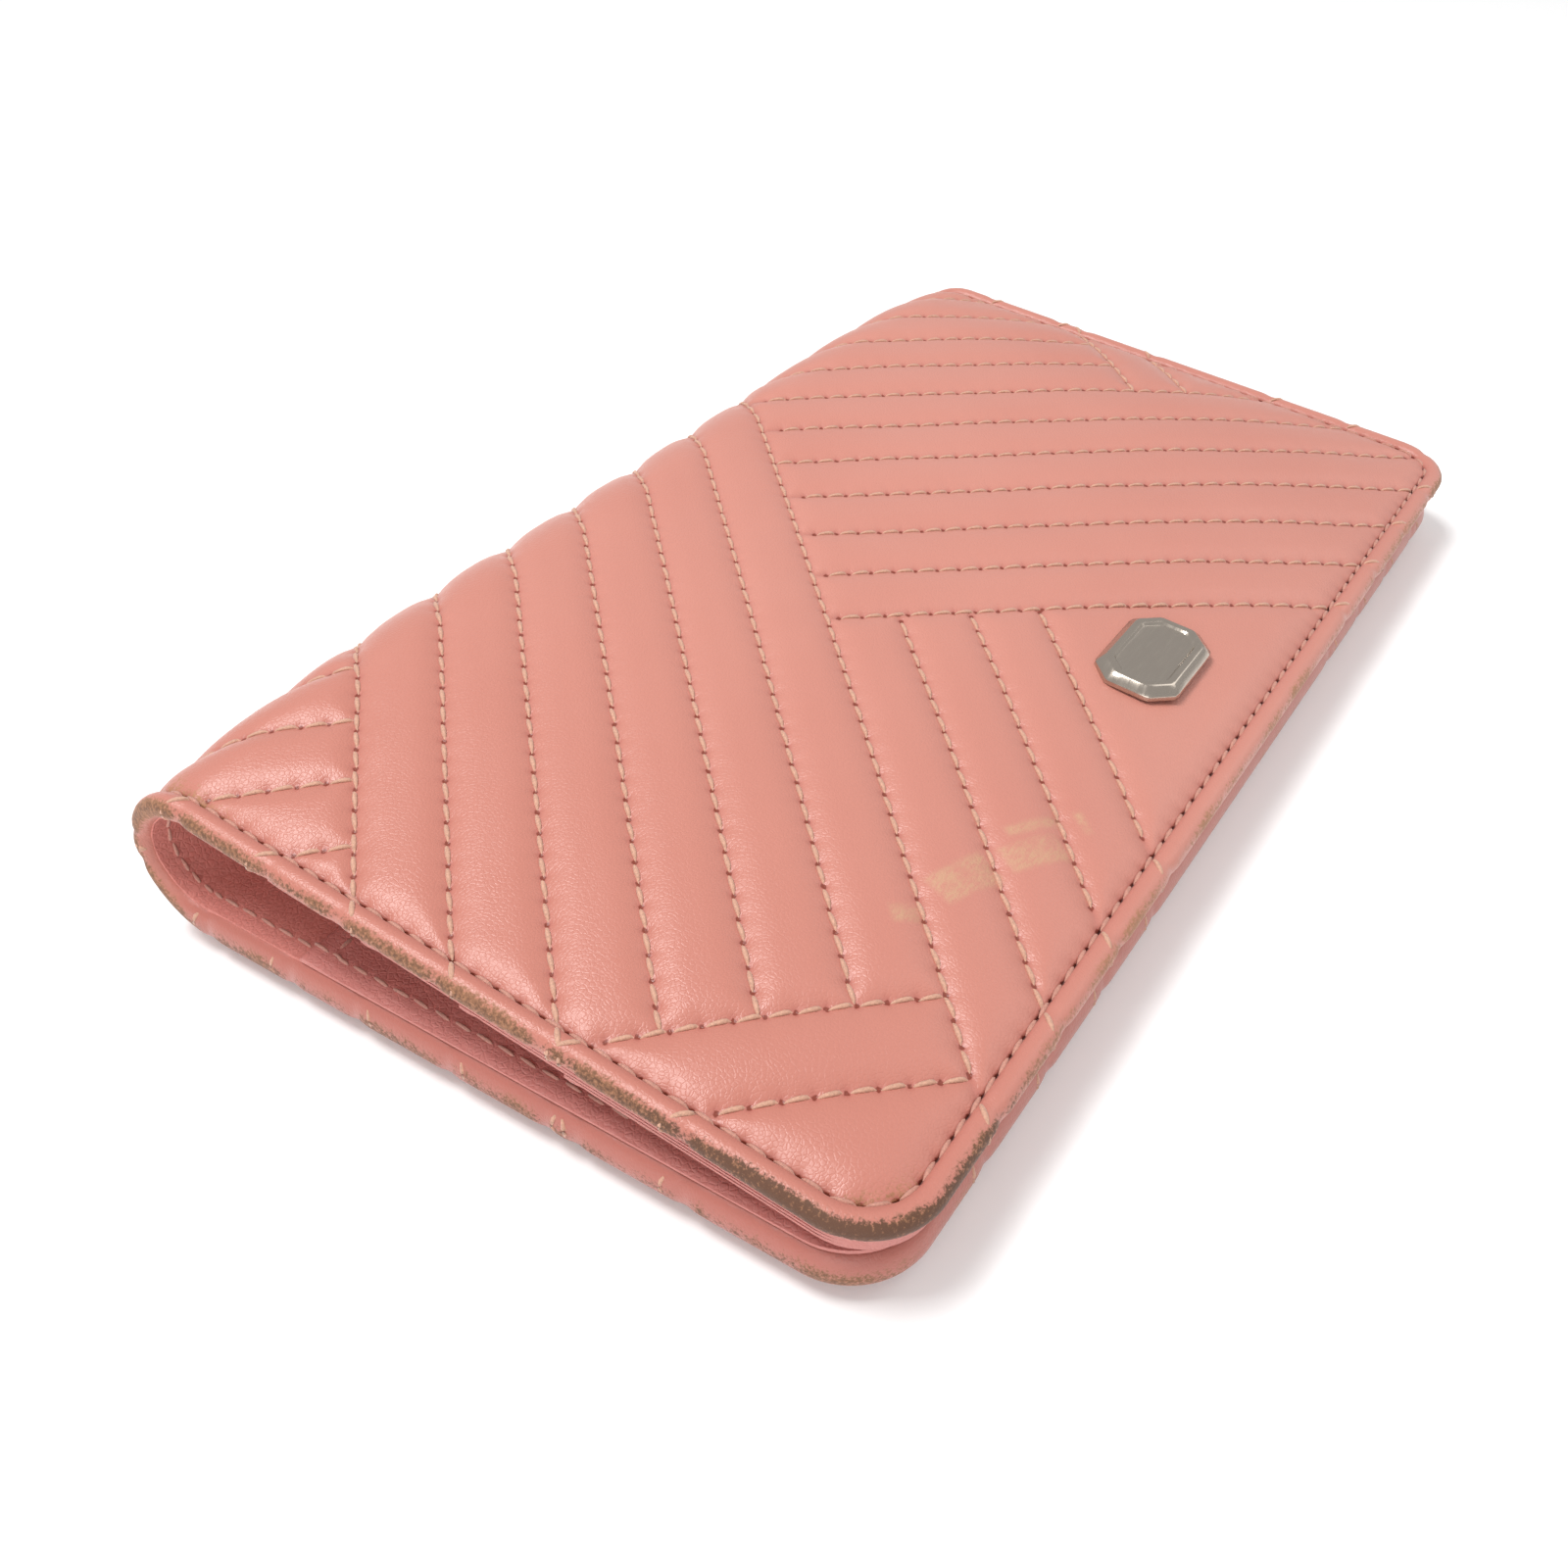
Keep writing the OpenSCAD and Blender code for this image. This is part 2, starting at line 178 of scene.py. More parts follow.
def quilt_lines():
    """Segments (x0, w0, x1, w1) of the quilting: the front's, and their mirror image over the spine."""
    lines = []

    def add(way, offset, w0, w1):
        if w1 - w0 > 1.0:
            lines.append((x_at(way, offset, w0), w0, x_at(way, offset, w1), w1))

    divider = RISE_FIRST - DIVIDER * PITCH
    corner = [FALL_CORNER, FALL_CORNER + PITCH]
    for i in range(RISING):
        offset = RISE_FIRST - i * PITCH
        if i < FROM_SIDE:
            start = w_at(RISE, offset, -SIDE)
        elif i < DIVIDER:
            start = meet(offset, corner[1])
        else:
            start = MARGIN
        end = MIDDLE if i <= DIVIDER else meet(offset, FALL_MAIN)
        add(RISE, offset, start, end)
    for offset in corner:
        add(FALL, offset, meet(divider, offset), w_at(FALL, offset, -SIDE))
    for j in range(BY_SPINE):
        offset = FALL_SPINE + j * PITCH
        add(FALL, offset, meet(RISE_FIRST, offset), min(w_at(FALL, offset, -SIDE), MIDDLE))
    for j in range(FALLING):
        offset = FALL_MAIN + j * PITCH
        start = max(MARGIN, w_at(FALL, offset, SIDE))
        if j in CUT_SHORT:
            start = meet(RISE_FAR, offset)
        add(FALL, offset, start, min(meet(divider, offset), MIDDLE))
    for j in range(AT_FAR_END):
        offset = RISE_FAR - j * PITCH
        add(RISE, offset, meet(offset, FALL_MAIN + 6 * PITCH), w_at(RISE, offset, SIDE))
    return lines + [(x0, mirrored(w0), x1, mirrored(w1)) for x0, w0, x1, w1 in lines]


LINES = quilt_lines()


def segment_distance(x, w, line):
    """Distance to a segment and the place along it."""
    x0, w0, x1, w1 = line
    length = math.hypot(x1 - x0, w1 - w0)
    ux, uw = (x1 - x0) / length, (w1 - w0) / length
    along = (x - x0) * ux + (w - w0) * uw
    over = along - np.clip(along, 0, length)
    side = (x - x0) * uw - (w - w0) * ux
    return np.hypot(over, side), along


def perimeter_distance(x, w):
    """Distance inwards from the perimeter stitch line, a rounded rectangle."""
    r = CORNER - MARGIN
    qx = np.abs(x) - (SIDE - r)
    qw = np.abs(w - TOTAL / 2) - (TOTAL / 2 - MARGIN - r)
    return -(np.minimum(np.maximum(qx, qw), 0) + np.hypot(np.maximum(qx, 0), np.maximum(qw, 0)) - r)


def perimeter_phase(x, w):
    """1 at the needle holes of the perimeter stitches and 0 half way between them."""
    r = CORNER - MARGIN
    on_short_side = np.abs(x) - SIDE > np.maximum(MARGIN - w, w - TOTAL + MARGIN)
    run = np.where(on_short_side, w - CORNER, x + SIDE - r)
    return 0.5 + 0.5 * np.cos(2 * math.pi * run / EDGE_STITCH)


def stitch_fields(x, w):
    """Softened distance to all stitch lines, distance to the nearest quilting line, and place along it."""
    soft = np.maximum(perimeter_distance(x, w), 0.02) ** -4.0
    near = np.full(x.shape, 99.0)
    place_along = np.zeros(x.shape)
    for line in LINES:
        d, along = segment_distance(x, w, line)
        soft += np.maximum(d, 0.02) ** -4.0
        closer = d < near
        near = np.where(closer, d, near)
        place_along = np.where(closer, along, place_along)
    return soft ** -0.25, near, place_along


def uneven(x, w):
    """Slow unevenness of hand-worn leather."""
    return (0.16 * np.sin(x / 17.0 + 1.3 * np.sin(w / 23.0)) * np.cos(w / 19.0 + 0.4)
            + 0.08 * np.sin(x / 6.1 + w / 9.3) * np.cos(x / 8.7 - w / 5.3 + 1.0))


def settled(n, w):
    """Heights with the back pressed flat where it lies on its quilting."""
    soft = 0.25
    pressed = EDGE_LIFT - soft * np.log1p(np.exp((EDGE_LIFT - n) / soft))
    back = smoothstep(FRONT + 0.55 * ARC, FRONT + ARC, w)
    return n * (1 - back) + pressed * back


def above_floor(z):
    """Lifts what would reach the floor to just over it."""
    return 0.5 * (z + np.sqrt(z ** 2 + 0.04))


def skin_height(x, w):
    """Height of the leather over the plain sheet, distance to the stitches, and the needle holes."""
    t, near, along = stitch_fields(x, w)
    rim = perimeter_distance(x, w)
    puff = PUFF * (1 - (1 - np.clip(t / PUFF_REACH, 0, 1)) ** 2.3)
    wide = 0.35 * smoothstep(4.5, 11, t)
    phase = 0.5 + 0.5 * np.cos(2 * math.pi * along / QUILT_STITCH)
    edge_phase = perimeter_phase(x, w)
    gather = np.exp(-(near / 1.5) ** 2) * phase + np.exp(-(rim / 1.7) ** 2) * edge_phase
    hole = np.exp(-(near / 0.5) ** 2) * phase ** 8 + np.exp(-(rim / 0.5) ** 2) * edge_phase ** 8
    n = crown(x, w) + puff + wide - CREASE - 0.09 * gather - 0.22 * hole
    n += uneven(x, w) * smoothstep(0, 6, rim)
    seat = np.hypot((x - EMBLEM_X) / 13.0, (w - EMBLEM_W) / 9.5)
    n -= 0.55 * np.exp(-seat ** 4)
    return settled(n, w), t, hole


# ---- meshes ----

def make_object(name, verts, faces, normals=None, floats=None):
    """A smooth mesh object from coordinates in millimetres."""
    mesh = bpy.data.meshes.new(name)
    verts = np.asarray(verts, np.float32) * MM
    faces = np.asarray(faces, np.int32)
    mesh.vertices.add(len(verts))
    mesh.vertices.foreach_set("co", verts.ravel())
    count, side = faces.shape
    mesh.loops.add(count * side)
    mesh.loops.foreach_set("vertex_index", faces.ravel())
    mesh.polygons.add(count)
    mesh.polygons.foreach_set("loop_start", np.arange(count, dtype=np.int32) * side)
    mesh.update(calc_edges=True)
    mesh.validate()
    mesh.polygons.foreach_set("use_smooth", np.ones(count, bool))
    for key, values in (floats or {}).items():
        layer = mesh.attributes.new(key, "FLOAT", "POINT")
        layer.data.foreach_set("value", np.asarray(values, np.float32))
    if normals is not None:
        mesh.normals_split_custom_set_from_vertices(normals)
    obj = bpy.data.objects.new(name, mesh)
    bpy.context.scene.collection.objects.link(obj)
    return obj


def grid_faces(index):
    """Quads over a 2-D array of vertex numbers."""
    a, b, c, d = index[:-1, :-1], index[:-1, 1:], index[1:, 1:], index[1:, :-1]
    return np.stack([a, b, c, d], -1).reshape(-1, 4)


def vertex_normals(verts, faces):
    p = verts[faces]
    n = np.cross(p[:, 2] - p[:, 0], p[:, 3] - p[:, 1])
    total = np.zeros_like(verts)
    for k in range(4):
        for axis in range(3):
            total[:, axis] += np.bincount(faces[:, k], n[:, axis], len(verts))
    return total / np.maximum(np.linalg.norm(total, axis=1, keepdims=True), 1e-12)


def steps(a, b, size):
    return np.linspace(a, b, max(2, int(round(abs(b - a) / size)) + 1))


def joined(*parts):
    """Ranges end to end, with each shared value once."""
    out = parts[0]
    for p in parts[1:]:
        out = np.concatenate([out, p[1:]])
    return out


def round_corners(x, w, half, w0, w1, r, ends):
    """Bends the corner squares of a grid to quarter discs, at w0 and w1 as ends says."""
    x, w = x.copy(), w.copy()
    for edge, sign, wanted in ((w0, -1, ends[0]), (w1, 1, ends[1])):
        if not wanted:
            continue
        a = (np.abs(x) - (half - r)) / r
        b = sign * (w - edge) / r + 1
        inside = (a > 0) & (b > 0)
        a2 = np.clip(a, 0, 1) * np.sqrt(1 - np.clip(b, 0, 1) ** 2 / 2)
        b2 = np.clip(b, 0, 1) * np.sqrt(1 - np.clip(a, 0, 1) ** 2 / 2)
        x = np.where(inside, np.sign(x) * (half - r + a2 * r), x)
        w = np.where(inside, edge + sign * (b2 - 1) * r, w)
    return x, w


# Places along w where the strips' middles lie, which part the sheet into pieces
CUTS = [FRONT + STRIP / 2, FRONT + 1.5 * STRIP, FRONT + 2.5 * STRIP]


INNER_HEIGHT = -3.0    # height of the inner leather over the plain sheet


def attach(obj):
    """Bakes a piece's placement into its mesh."""
    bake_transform(obj)


# ---- materials ----

class Nodes:
    """Short calls for building a material's node tree."""

    def __init__(self, name):
        self.material = bpy.data.materials.new(name)
        self.material.use_nodes = True
        self.tree = self.material.node_tree
        self.tree.nodes.clear()
        self.out = self.tree.nodes.new("ShaderNodeOutputMaterial")
        self.shader = self.tree.nodes.new("ShaderNodeBsdfPrincipled")
        self.tree.links.new(self.shader.outputs[0], self.out.inputs[0])
        self.where = self.tree.nodes.new("ShaderNodeTexCoord").outputs["Object"]

    def link(self, value, socket):
        if isinstance(value, bpy.types.NodeSocket):
            self.tree.links.new(value, socket)
        else:
            socket.default_value = value

    def node(self, kind, inputs, output=0, **settings):
        made = self.tree.nodes.new(kind)
        for key, value in settings.items():
            setattr(made, key, value)
        for key, value in inputs.items():
            self.link(value, made.inputs[key])
        return made.outputs[output]

    def attribute(self, name):
        return self.node("ShaderNodeAttribute", {}, "Fac", attribute_name=name)

    def noise(self, scale, detail=4.0, roughness=0.55, where=None):
        return self.node("ShaderNodeTexNoise", {"Vector": where or self.where, "Scale": scale,
                                                "Detail": detail, "Roughness": roughness}, "Fac")

    def cells(self, scale, feature="DISTANCE_TO_EDGE"):
        return self.node("ShaderNodeTexVoronoi", {"Vector": self.where, "Scale": scale},
                         "Distance", feature=feature)

    def stretch(self, x, y, z):
        return self.node("ShaderNodeVectorMath", {0: self.where, 1: (x, y, z)}, operation="MULTIPLY")

    def ramp(self, value, *stops):
        made = self.tree.nodes.new("ShaderNodeValToRGB")
        ramp = made.color_ramp
        while len(ramp.elements) < len(stops):
            ramp.elements.new(0.5)
        for element, (place_at, level) in zip(ramp.elements, stops):
            element.position = place_at
            element.color = (level, level, level, 1) if isinstance(level, (int, float)) else (*level, 1)
        self.link(value, made.inputs[0])
        return made.outputs[0]

    def math(self, kind, a, b=0.0, c=0.0):
        return self.node("ShaderNodeMath", {0: a, 1: b, 2: c}, operation=kind)

    def mix(self, amount, a, b):
        made = self.tree.nodes.new("ShaderNodeMix")
        made.data_type = "RGBA"
        self.link(amount, made.inputs[0])
        self.link(a if isinstance(a, bpy.types.NodeSocket) else (*a, 1), made.inputs[6])
        self.link(b if isinstance(b, bpy.types.NodeSocket) else (*b, 1), made.inputs[7])
        return made.outputs[2]

    def bump(self, height, distance, strength=1.0, normal=None):
        made = self.tree.nodes.new("ShaderNodeBump")
        self.link(height, made.inputs["Height"])
        made.inputs["Distance"].default_value = distance
        made.inputs["Strength"].default_value = strength
        if normal is not None:
            self.link(normal, made.inputs["Normal"])
        return made.outputs[0]

    def finish(self, color, roughness, normal=None, **constants):
        self.link(color if isinstance(color, bpy.types.NodeSocket) else (*color, 1),
                  self.shader.inputs["Base Color"])
        self.link(roughness, self.shader.inputs["Roughness"])
        if normal is not None:
            self.link(normal, self.shader.inputs["Normal"])
        for key, value in constants.items():
            self.shader.inputs[key.replace("_", " ")].default_value = value
        return self.material


PINK = (0.595, 0.247, 0.192)
PINK_TWO = (0.56, 0.218, 0.167)
# painted shade in the stitch creases and over the back's turned edge
PINK_CREASE_SHADE = (0.42, 0.125, 0.10)
INSIDE_PINK = (0.62, 0.235, 0.205)
TAN = (0.40, 0.19, 0.09)
BROWN = (0.075, 0.034, 0.012)
SCUFF = (0.55, 0.31, 0.19)
THREAD = (0.70, 0.38, 0.26)
# painted shade in the needle holes
HOLE_SHADE = (0.20, 0.030, 0.012)
# painted shade towards the near end of the cover
PINK_NEAR_END_SHADE = (0.50, 0.175, 0.13)


def grain_bump(m, cell, depth):
    """Pebbled leather grain: cells with soft borders over slower unevenness."""
    pebble = m.ramp(m.cells(cell), (0.0, 0.0), (0.2, 0.9), (1.0, 1.0))
    pores = m.ramp(m.noise(cell * 1.7, 3.0), (0.35, 0.0), (0.6, 1.0))
    mixed = m.math("MULTIPLY_ADD", pores, 0.2, pebble)
    return m.bump(mixed, depth, 0.55)


def worn_through(m, fuzz):
    """Where the turned edge is rubbed through, in ragged patches."""
    patch = m.ramp(m.noise(110.0, 3.0, 0.6), (0.34, 0.0), (0.66, 1.0))
    wear = m.math("MULTIPLY_ADD", patch, 0.45, m.math("SUBTRACT", m.attribute("wear"), 0.42))
    worn = m.math("MULTIPLY_ADD", m.math("SUBTRACT", fuzz, 0.5), 1.6, wear)
    return m.math("MULTIPLY", m.ramp(worn, (0.12, 0.0), (0.45, 1.0)),
                  m.ramp(m.attribute("wear"), (0.06, 0.0), (0.3, 1.0)))


def scuffed_through(m):
    """The scuffs below the emblem, in fine streaks."""
    streak = m.noise(1.0, 5.0, 0.7, m.stretch(900.0, 3000.0, 1000.0))
    scuffed = m.math("MULTIPLY", m.attribute("scuff"), m.ramp(streak, (0.38, 0.25), (0.56, 1.0)))
    return m.math("MULTIPLY", scuffed, m.ramp(m.noise(420.0, 3.0), (0.34, 0.35), (0.5, 1.0)))


def tone_with_near_end_shade(m):
    """The leather's own pink, slowly uneven, with painted shade deepening it towards the near end."""
    tone = m.mix(m.ramp(m.noise(22.0, 3.0), (0.3, 0.0), (0.75, 1.0)), PINK, PINK_TWO)
    along = m.node("ShaderNodeVectorMath", {0: m.where, 1: (-1, 0, 0)}, "Value",
                   operation="DOT_PRODUCT")
    # Painted shade: a slow ramp that darkens and reddens the leather towards the near end.
    near_end = m.ramp(m.math("MULTIPLY_ADD", along, 5.0, 0.5), (0.50, 0.0), (0.98, 0.75))
    return m.mix(near_end, tone, PINK_NEAR_END_SHADE)


def cover_leather():
    m = Nodes("quilted_lambskin")
    # Painted shade: the leather deepens along the stitch creases and over the back's turned edge, and goes
    # near-black red in the needle holes.
    tone = m.mix(m.math("MULTIPLY", m.attribute("painted_shade"), 0.7), tone_with_near_end_shade(m), PINK_CREASE_SHADE)
    tone = m.mix(m.ramp(m.attribute("painted_shade"), (0.82, 0.0), (1.0, 0.9)), tone, HOLE_SHADE)
    fuzz = m.noise(2500.0, 3.0, 0.7)
    worn = worn_through(m, fuzz)
    grime = m.math("MULTIPLY", m.attribute("grime"), m.ramp(fuzz, (0.35, 0.35), (0.6, 1.0)))
    bare = m.mix(m.ramp(grime, (0.15, 0.0), (0.65, 1.0)), TAN, BROWN)
    tone = m.mix(m.math("MULTIPLY", worn, 0.9), tone, bare)
    scuffed = scuffed_through(m)
    tone = m.mix(m.math("MULTIPLY", scuffed, 0.85), tone, SCUFF)
    rough = m.ramp(m.noise(140.0, 4.0), (0.25, 0.33), (0.8, 0.42))
    rough = m.math("MULTIPLY_ADD", m.math("MAXIMUM", worn, scuffed), 0.32, rough)
    return m.finish(tone, rough, grain_bump(m, 1900.0, 0.000036), Specular_IOR_Level=0.5,
                    Sheen_Weight=0.12, Sheen_Roughness=0.4)


def pocket_leather():
    """The smoother leather of the pockets, with slow wrinkles under its grain."""
    m = Nodes("pocket_lambskin")
    blotch = m.ramp(m.noise(45.0, 3.0), (0.3, 0.0), (0.7, 1.0))
    color = m.mix(blotch, INSIDE_PINK, tuple(0.93 * c for c in INSIDE_PINK))
    folds = m.noise(1.0, 5.0, 0.6, m.stretch(330.0, 160.0, 330.0))
    folds = m.ramp(folds, (0.35, 0.0), (0.65, 1.0))
    normal = m.bump(folds, 0.00016, 0.6, grain_bump(m, 1400.0, 0.00009))
    rough = m.ramp(m.noise(200.0), (0.2, 0.42), (0.8, 0.55))
    return m.finish(color, rough, normal, Specular_IOR_Level=0.4)


def lining_leather():
    """Grained lining with small dark specks."""
    m = Nodes("grained_lining")
    tone = (0.68, 0.26, 0.22)
    color = m.mix(m.ramp(m.cells(1300.0), (0.0, 1.0), (0.16, 0.0)), tone, (0.60, 0.215, 0.18))
    specks = m.ramp(m.cells(170.0, "F1"), (0.0, 1.0), (0.06, 0.0))
    color = m.mix(m.math("MULTIPLY", specks, 0.8), color, (0.10, 0.03, 0.03))
    return m.finish(color, 0.6, grain_bump(m, 1400.0, 0.00008), Specular_IOR_Level=0.3)


def thread_material(name, tone):
    m = Nodes(name)
    fibre = m.noise(1.0, 4.0, 0.7, m.stretch(4000.0, 4000.0, 4000.0))
    color = m.mix(m.ramp(fibre, (0.3, 0.0), (0.7, 1.0)), tone, tuple(0.62 * c for c in tone))
    return m.finish(color, 0.62, m.bump(fibre, 0.00005, 0.5), Sheen_Weight=0.3)


def metal(name, tone, roughness, scratch):
    m = Nodes(name)
    marks = m.noise(1.0, 5.0, 0.65, m.stretch(300.0, 2600.0, 300.0))
    rough = m.ramp(marks, (0.35, roughness), (0.75, roughness + 0.14))
    return m.finish(tone, rough, m.bump(marks, scratch, 0.35), Metallic=1.0)


def cloth(name, tone, size):
    """Plain weave: two crossed waves."""
    m = Nodes(name)
    warp, weft = [m.node("ShaderNodeTexWave", {"Vector": m.where, "Scale": 1 / size}, "Fac",
                         bands_direction=way) for way in "XY"]
    weave = m.math("MAXIMUM", warp, weft)
    color = m.mix(weave, tuple(0.6 * c for c in tone), tone)
    return m.finish(color, 0.85, m.bump(weave, 0.0001, 0.6), Sheen_Weight=0.3)


def board_material():
    m = Nodes("fibre_board")
    color = m.mix(m.noise(400.0, 5.0), (0.45, 0.36, 0.25), (0.62, 0.53, 0.40))
    return m.finish(color, 0.9, m.bump(m.noise(900.0), 0.0001, 0.4))


COVER = cover_leather()
LINING = lining_leather()
POCKET = pocket_leather()
QUILT_THREAD = thread_material("quilting_thread", THREAD)
EDGE_THREAD = thread_material("edge_thread", (0.62, 0.285, 0.21))
INNER_THREAD = thread_material("inner_thread", (0.72, 0.37, 0.29))
ZIP_METAL = metal("zip_nickel", (0.55, 0.51, 0.47), 0.22, 0.00002)
EMBLEM_METAL = metal("emblem_nickel", (0.56, 0.49, 0.42), 0.17, 0.000004)


def dress(obj, material):
    obj.data.materials.clear()
    obj.data.materials.append(material)


# ---- the quilted cover ----

FINE = 0.42
EDGE_STEPS = 16


def roll_profile(w, notch, steps_round):
    """Turned edge seen in section: outward distance and height from the perimeter stitches."""
    half_height = 1.5 + 0.87 * smoothstep(FRONT + 0.5 * ARC, FRONT + ARC + 3, w)[:, None]
    k = np.linspace(0, 1, steps_round)[None, :]
    angle = np.radians(151 - 266 * k)
    reach = 1.6 - notch[:, None] * 0.22
    rise_by = half_height - notch[:, None] * 0.18
    middle = 0.45 - half_height
    out = 1.4 + reach * np.cos(angle)
    up = middle + rise_by * np.sin(angle)
    out = out - out[:, :1] * (1 - k) ** 3
    up = up + (-CREASE - up[:, :1]) * (1 - k) ** 3
    tail_out = np.array([[0.0, -1.6]]) + 0 * out[:, :2]
    tail_up = np.repeat(up[:, -1:] - 0.03, 2, axis=1)
    return np.concatenate([out, tail_out], 1), np.concatenate([up, tail_up], 1)


def on_edge(x, w):
    """Whether a point lies on the perimeter stitches."""
    return perimeter_distance(x, w) < 0.5


def run_on(line, past=2.5):
    """A quilting line, run on past each of its ends that lies on the perimeter stitches."""
    x0, w0, x1, w1 = line
    length = math.hypot(x1 - x0, w1 - w0)
    dx, dw = (x1 - x0) * (past / length), (w1 - w0) * (past / length)
    start = (x0 - dx, w0 - dw) if on_edge(x0, w0) else (x0, w0)
    end = (x1 + dx, w1 + dw) if on_edge(x1, w1) else (x1, w1)
    return start + end


def edge_notch(x, w):
    """1 where a line of quilting crosses the turned edge."""
    notch = np.zeros(x.shape)
    for line in LINES:
        d, _ = segment_distance(x, w, run_on(line))
        notch = np.maximum(notch, np.exp(-(d / 0.75) ** 2))
    return notch


# Scuffs by the emblem: middle (x, w), direction in degrees, half length and half width
SCUFFS = [(-58.6, 20.8, -48, 1.6, 1.1), (-49.6, 18.2, -20, 4.2, 2.2), (-40.6, 13.8, -31, 4.0, 1.9),
          (-36.8, 15.9, -30, 3.9, 0.7), (-32.2, 11.6, 50, 1.6, 0.5)]


def scuff_mask(x, w):
    mask = np.zeros(x.shape)
    for cx, cw, turn, half_length, half_width in SCUFFS:
        c, s = math.cos(math.radians(turn)), math.sin(math.radians(turn))
        u = np.abs((x - cx) * c + (w - cw) * s) - half_length
        v = np.abs((w - cw) * c - (x - cx) * s) - half_width
        mask = np.maximum(mask, 1 - smoothstep(-0.5, 0.45, np.maximum(u, v)))
    return mask


def sheet_grid():
    """The sheet inside the perimeter stitches as rows of points, and the rows of its ends and cuts."""
    stops = [MARGIN, *CUTS, TOTAL - MARGIN]
    down = joined(*[steps(a, b, FINE) for a, b in zip(stops[:-1], stops[1:])])
    rows = [int(np.argmin(np.abs(down - c))) for c in stops]
    X, W = np.meshgrid(steps(-SIDE, SIDE, FINE), down)
    X, W = round_corners(X, W, SIDE, MARGIN, TOTAL - MARGIN, CORNER - MARGIN, (True, True))
    return X, W, rows


def border_loop(index):
    """The grid's border, from corner to corner, as one loop of vertex numbers."""
    return np.concatenate([index[0, :-1], index[:-1, -1], index[-1, :0:-1], index[:0:-1, 0]])


def outward(x, w):
    """Direction away from the sheet's middle at a point of its border."""
    r = CORNER - MARGIN
    ex = x - np.clip(x, -(SIDE - r), SIDE - r)
    ew = w - np.clip(w, MARGIN + r, TOTAL - MARGIN - r)
    size = np.maximum(np.hypot(ex, ew), 1e-9)
    return ex / size, ew / size


def turned_edge(x, w, ex, ew, notch):
    """Points of the turned edge: its section at each point of the border."""
    out, up = roll_profile(w, notch, EDGE_STEPS)
    y, z, ny, nz, ty, tz = frame_at(w)
    return np.stack([x[:, None] + ex[:, None] * out,
                     y[:, None] + ny[:, None] * up + (ew * ty)[:, None] * out,
                     z[:, None] + nz[:, None] * up + (ew * tz)[:, None] * out], -1)


def near_point(x, w, at_x, at_w, reach):
    """1 at a point of the sheet, falling off over reach."""
    return np.exp(-(np.hypot(x - at_x, w - at_w) / reach) ** 2)


def face_fields(x, w, t, hole):
    """What the leather's material reads on the quilted face."""
    rim = np.maximum(perimeter_distance(x, w), 0)
    corner = near_point(x, w, -SIDE, MARGIN, 9.0)
    spine_end = near_point(x, w, -SIDE, FRONT + 2, 9.0)
    # Painted shade: darker along the stitch lines and in the needle holes.
    return {"painted_shade": np.clip(0.55 * np.exp(-(t / 0.45) ** 2) + 1.1 * hole, 0, 1.4),
            "wear": (0.5 * corner + 0.75 * spine_end) * np.exp(-rim / 2.2),
            "grime": 0.3 * corner,
            "scuff": scuff_mask(x, w)}


def edge_fields(x, w, ex, notch, k):
    """The same on the turned edge, most worn on its outer shoulder and darkest at the free corners, with
    painted shade in its crease and over the whole turned edge of the back.
    """
    shoulder = np.exp(-((k - 0.50) / 0.17) ** 2)
    near_end = smoothstep(0, -SIDE, x)
    near_side = near_end * np.abs(ex)
    corner_near = near_point(x, w, -SIDE, MARGIN, 20.0)
    corner_far = near_point(x, w, SIDE, MARGIN, 14.0)
    round_spine = np.exp(-((w - MIDDLE) / 16.0) ** 4)
    on_back = smoothstep(FRONT + 0.6 * ARC, FRONT + ARC, w)
    wear = 0.50 + 0.3 * near_side + 0.55 * corner_near + 0.35 * corner_far
    wear = (wear + 0.3 * near_end * round_spine) * (1 - 0.45 * notch)
    wear -= 0.25 * smoothstep(FRONT + 0.5 * ARC, FRONT + ARC, w)
    grime = np.clip(0.25 + 0.9 * corner_near + 0.35 * near_side + 0.2 * corner_far, 0, 1.3)
    # Painted shade: darker in the crease by the perimeter stitches, and over the whole turned edge of the
    # back.
    return {"painted_shade": np.maximum(0.55 * np.exp(-(k * 6.0) ** 2), 0.8 * on_back[:, None]),
            "wear": wear[:, None] * shoulder,
            "grime": grime[:, None] * shoulder ** 0.5,
            "scuff": np.zeros((len(x), len(k)))}


COVER_PIECES = [
    ("cover_front", ("front_cover", "front_foam", "front_turned_edge", "spine_cover_3")),
    ("cover_spine_high", ("spine_cover_2",)),
    ("cover_spine_low", ("spine_cover_1",)),
    ("cover_back", ("back_cover", "back_foam", "back_turned_edge")),
]


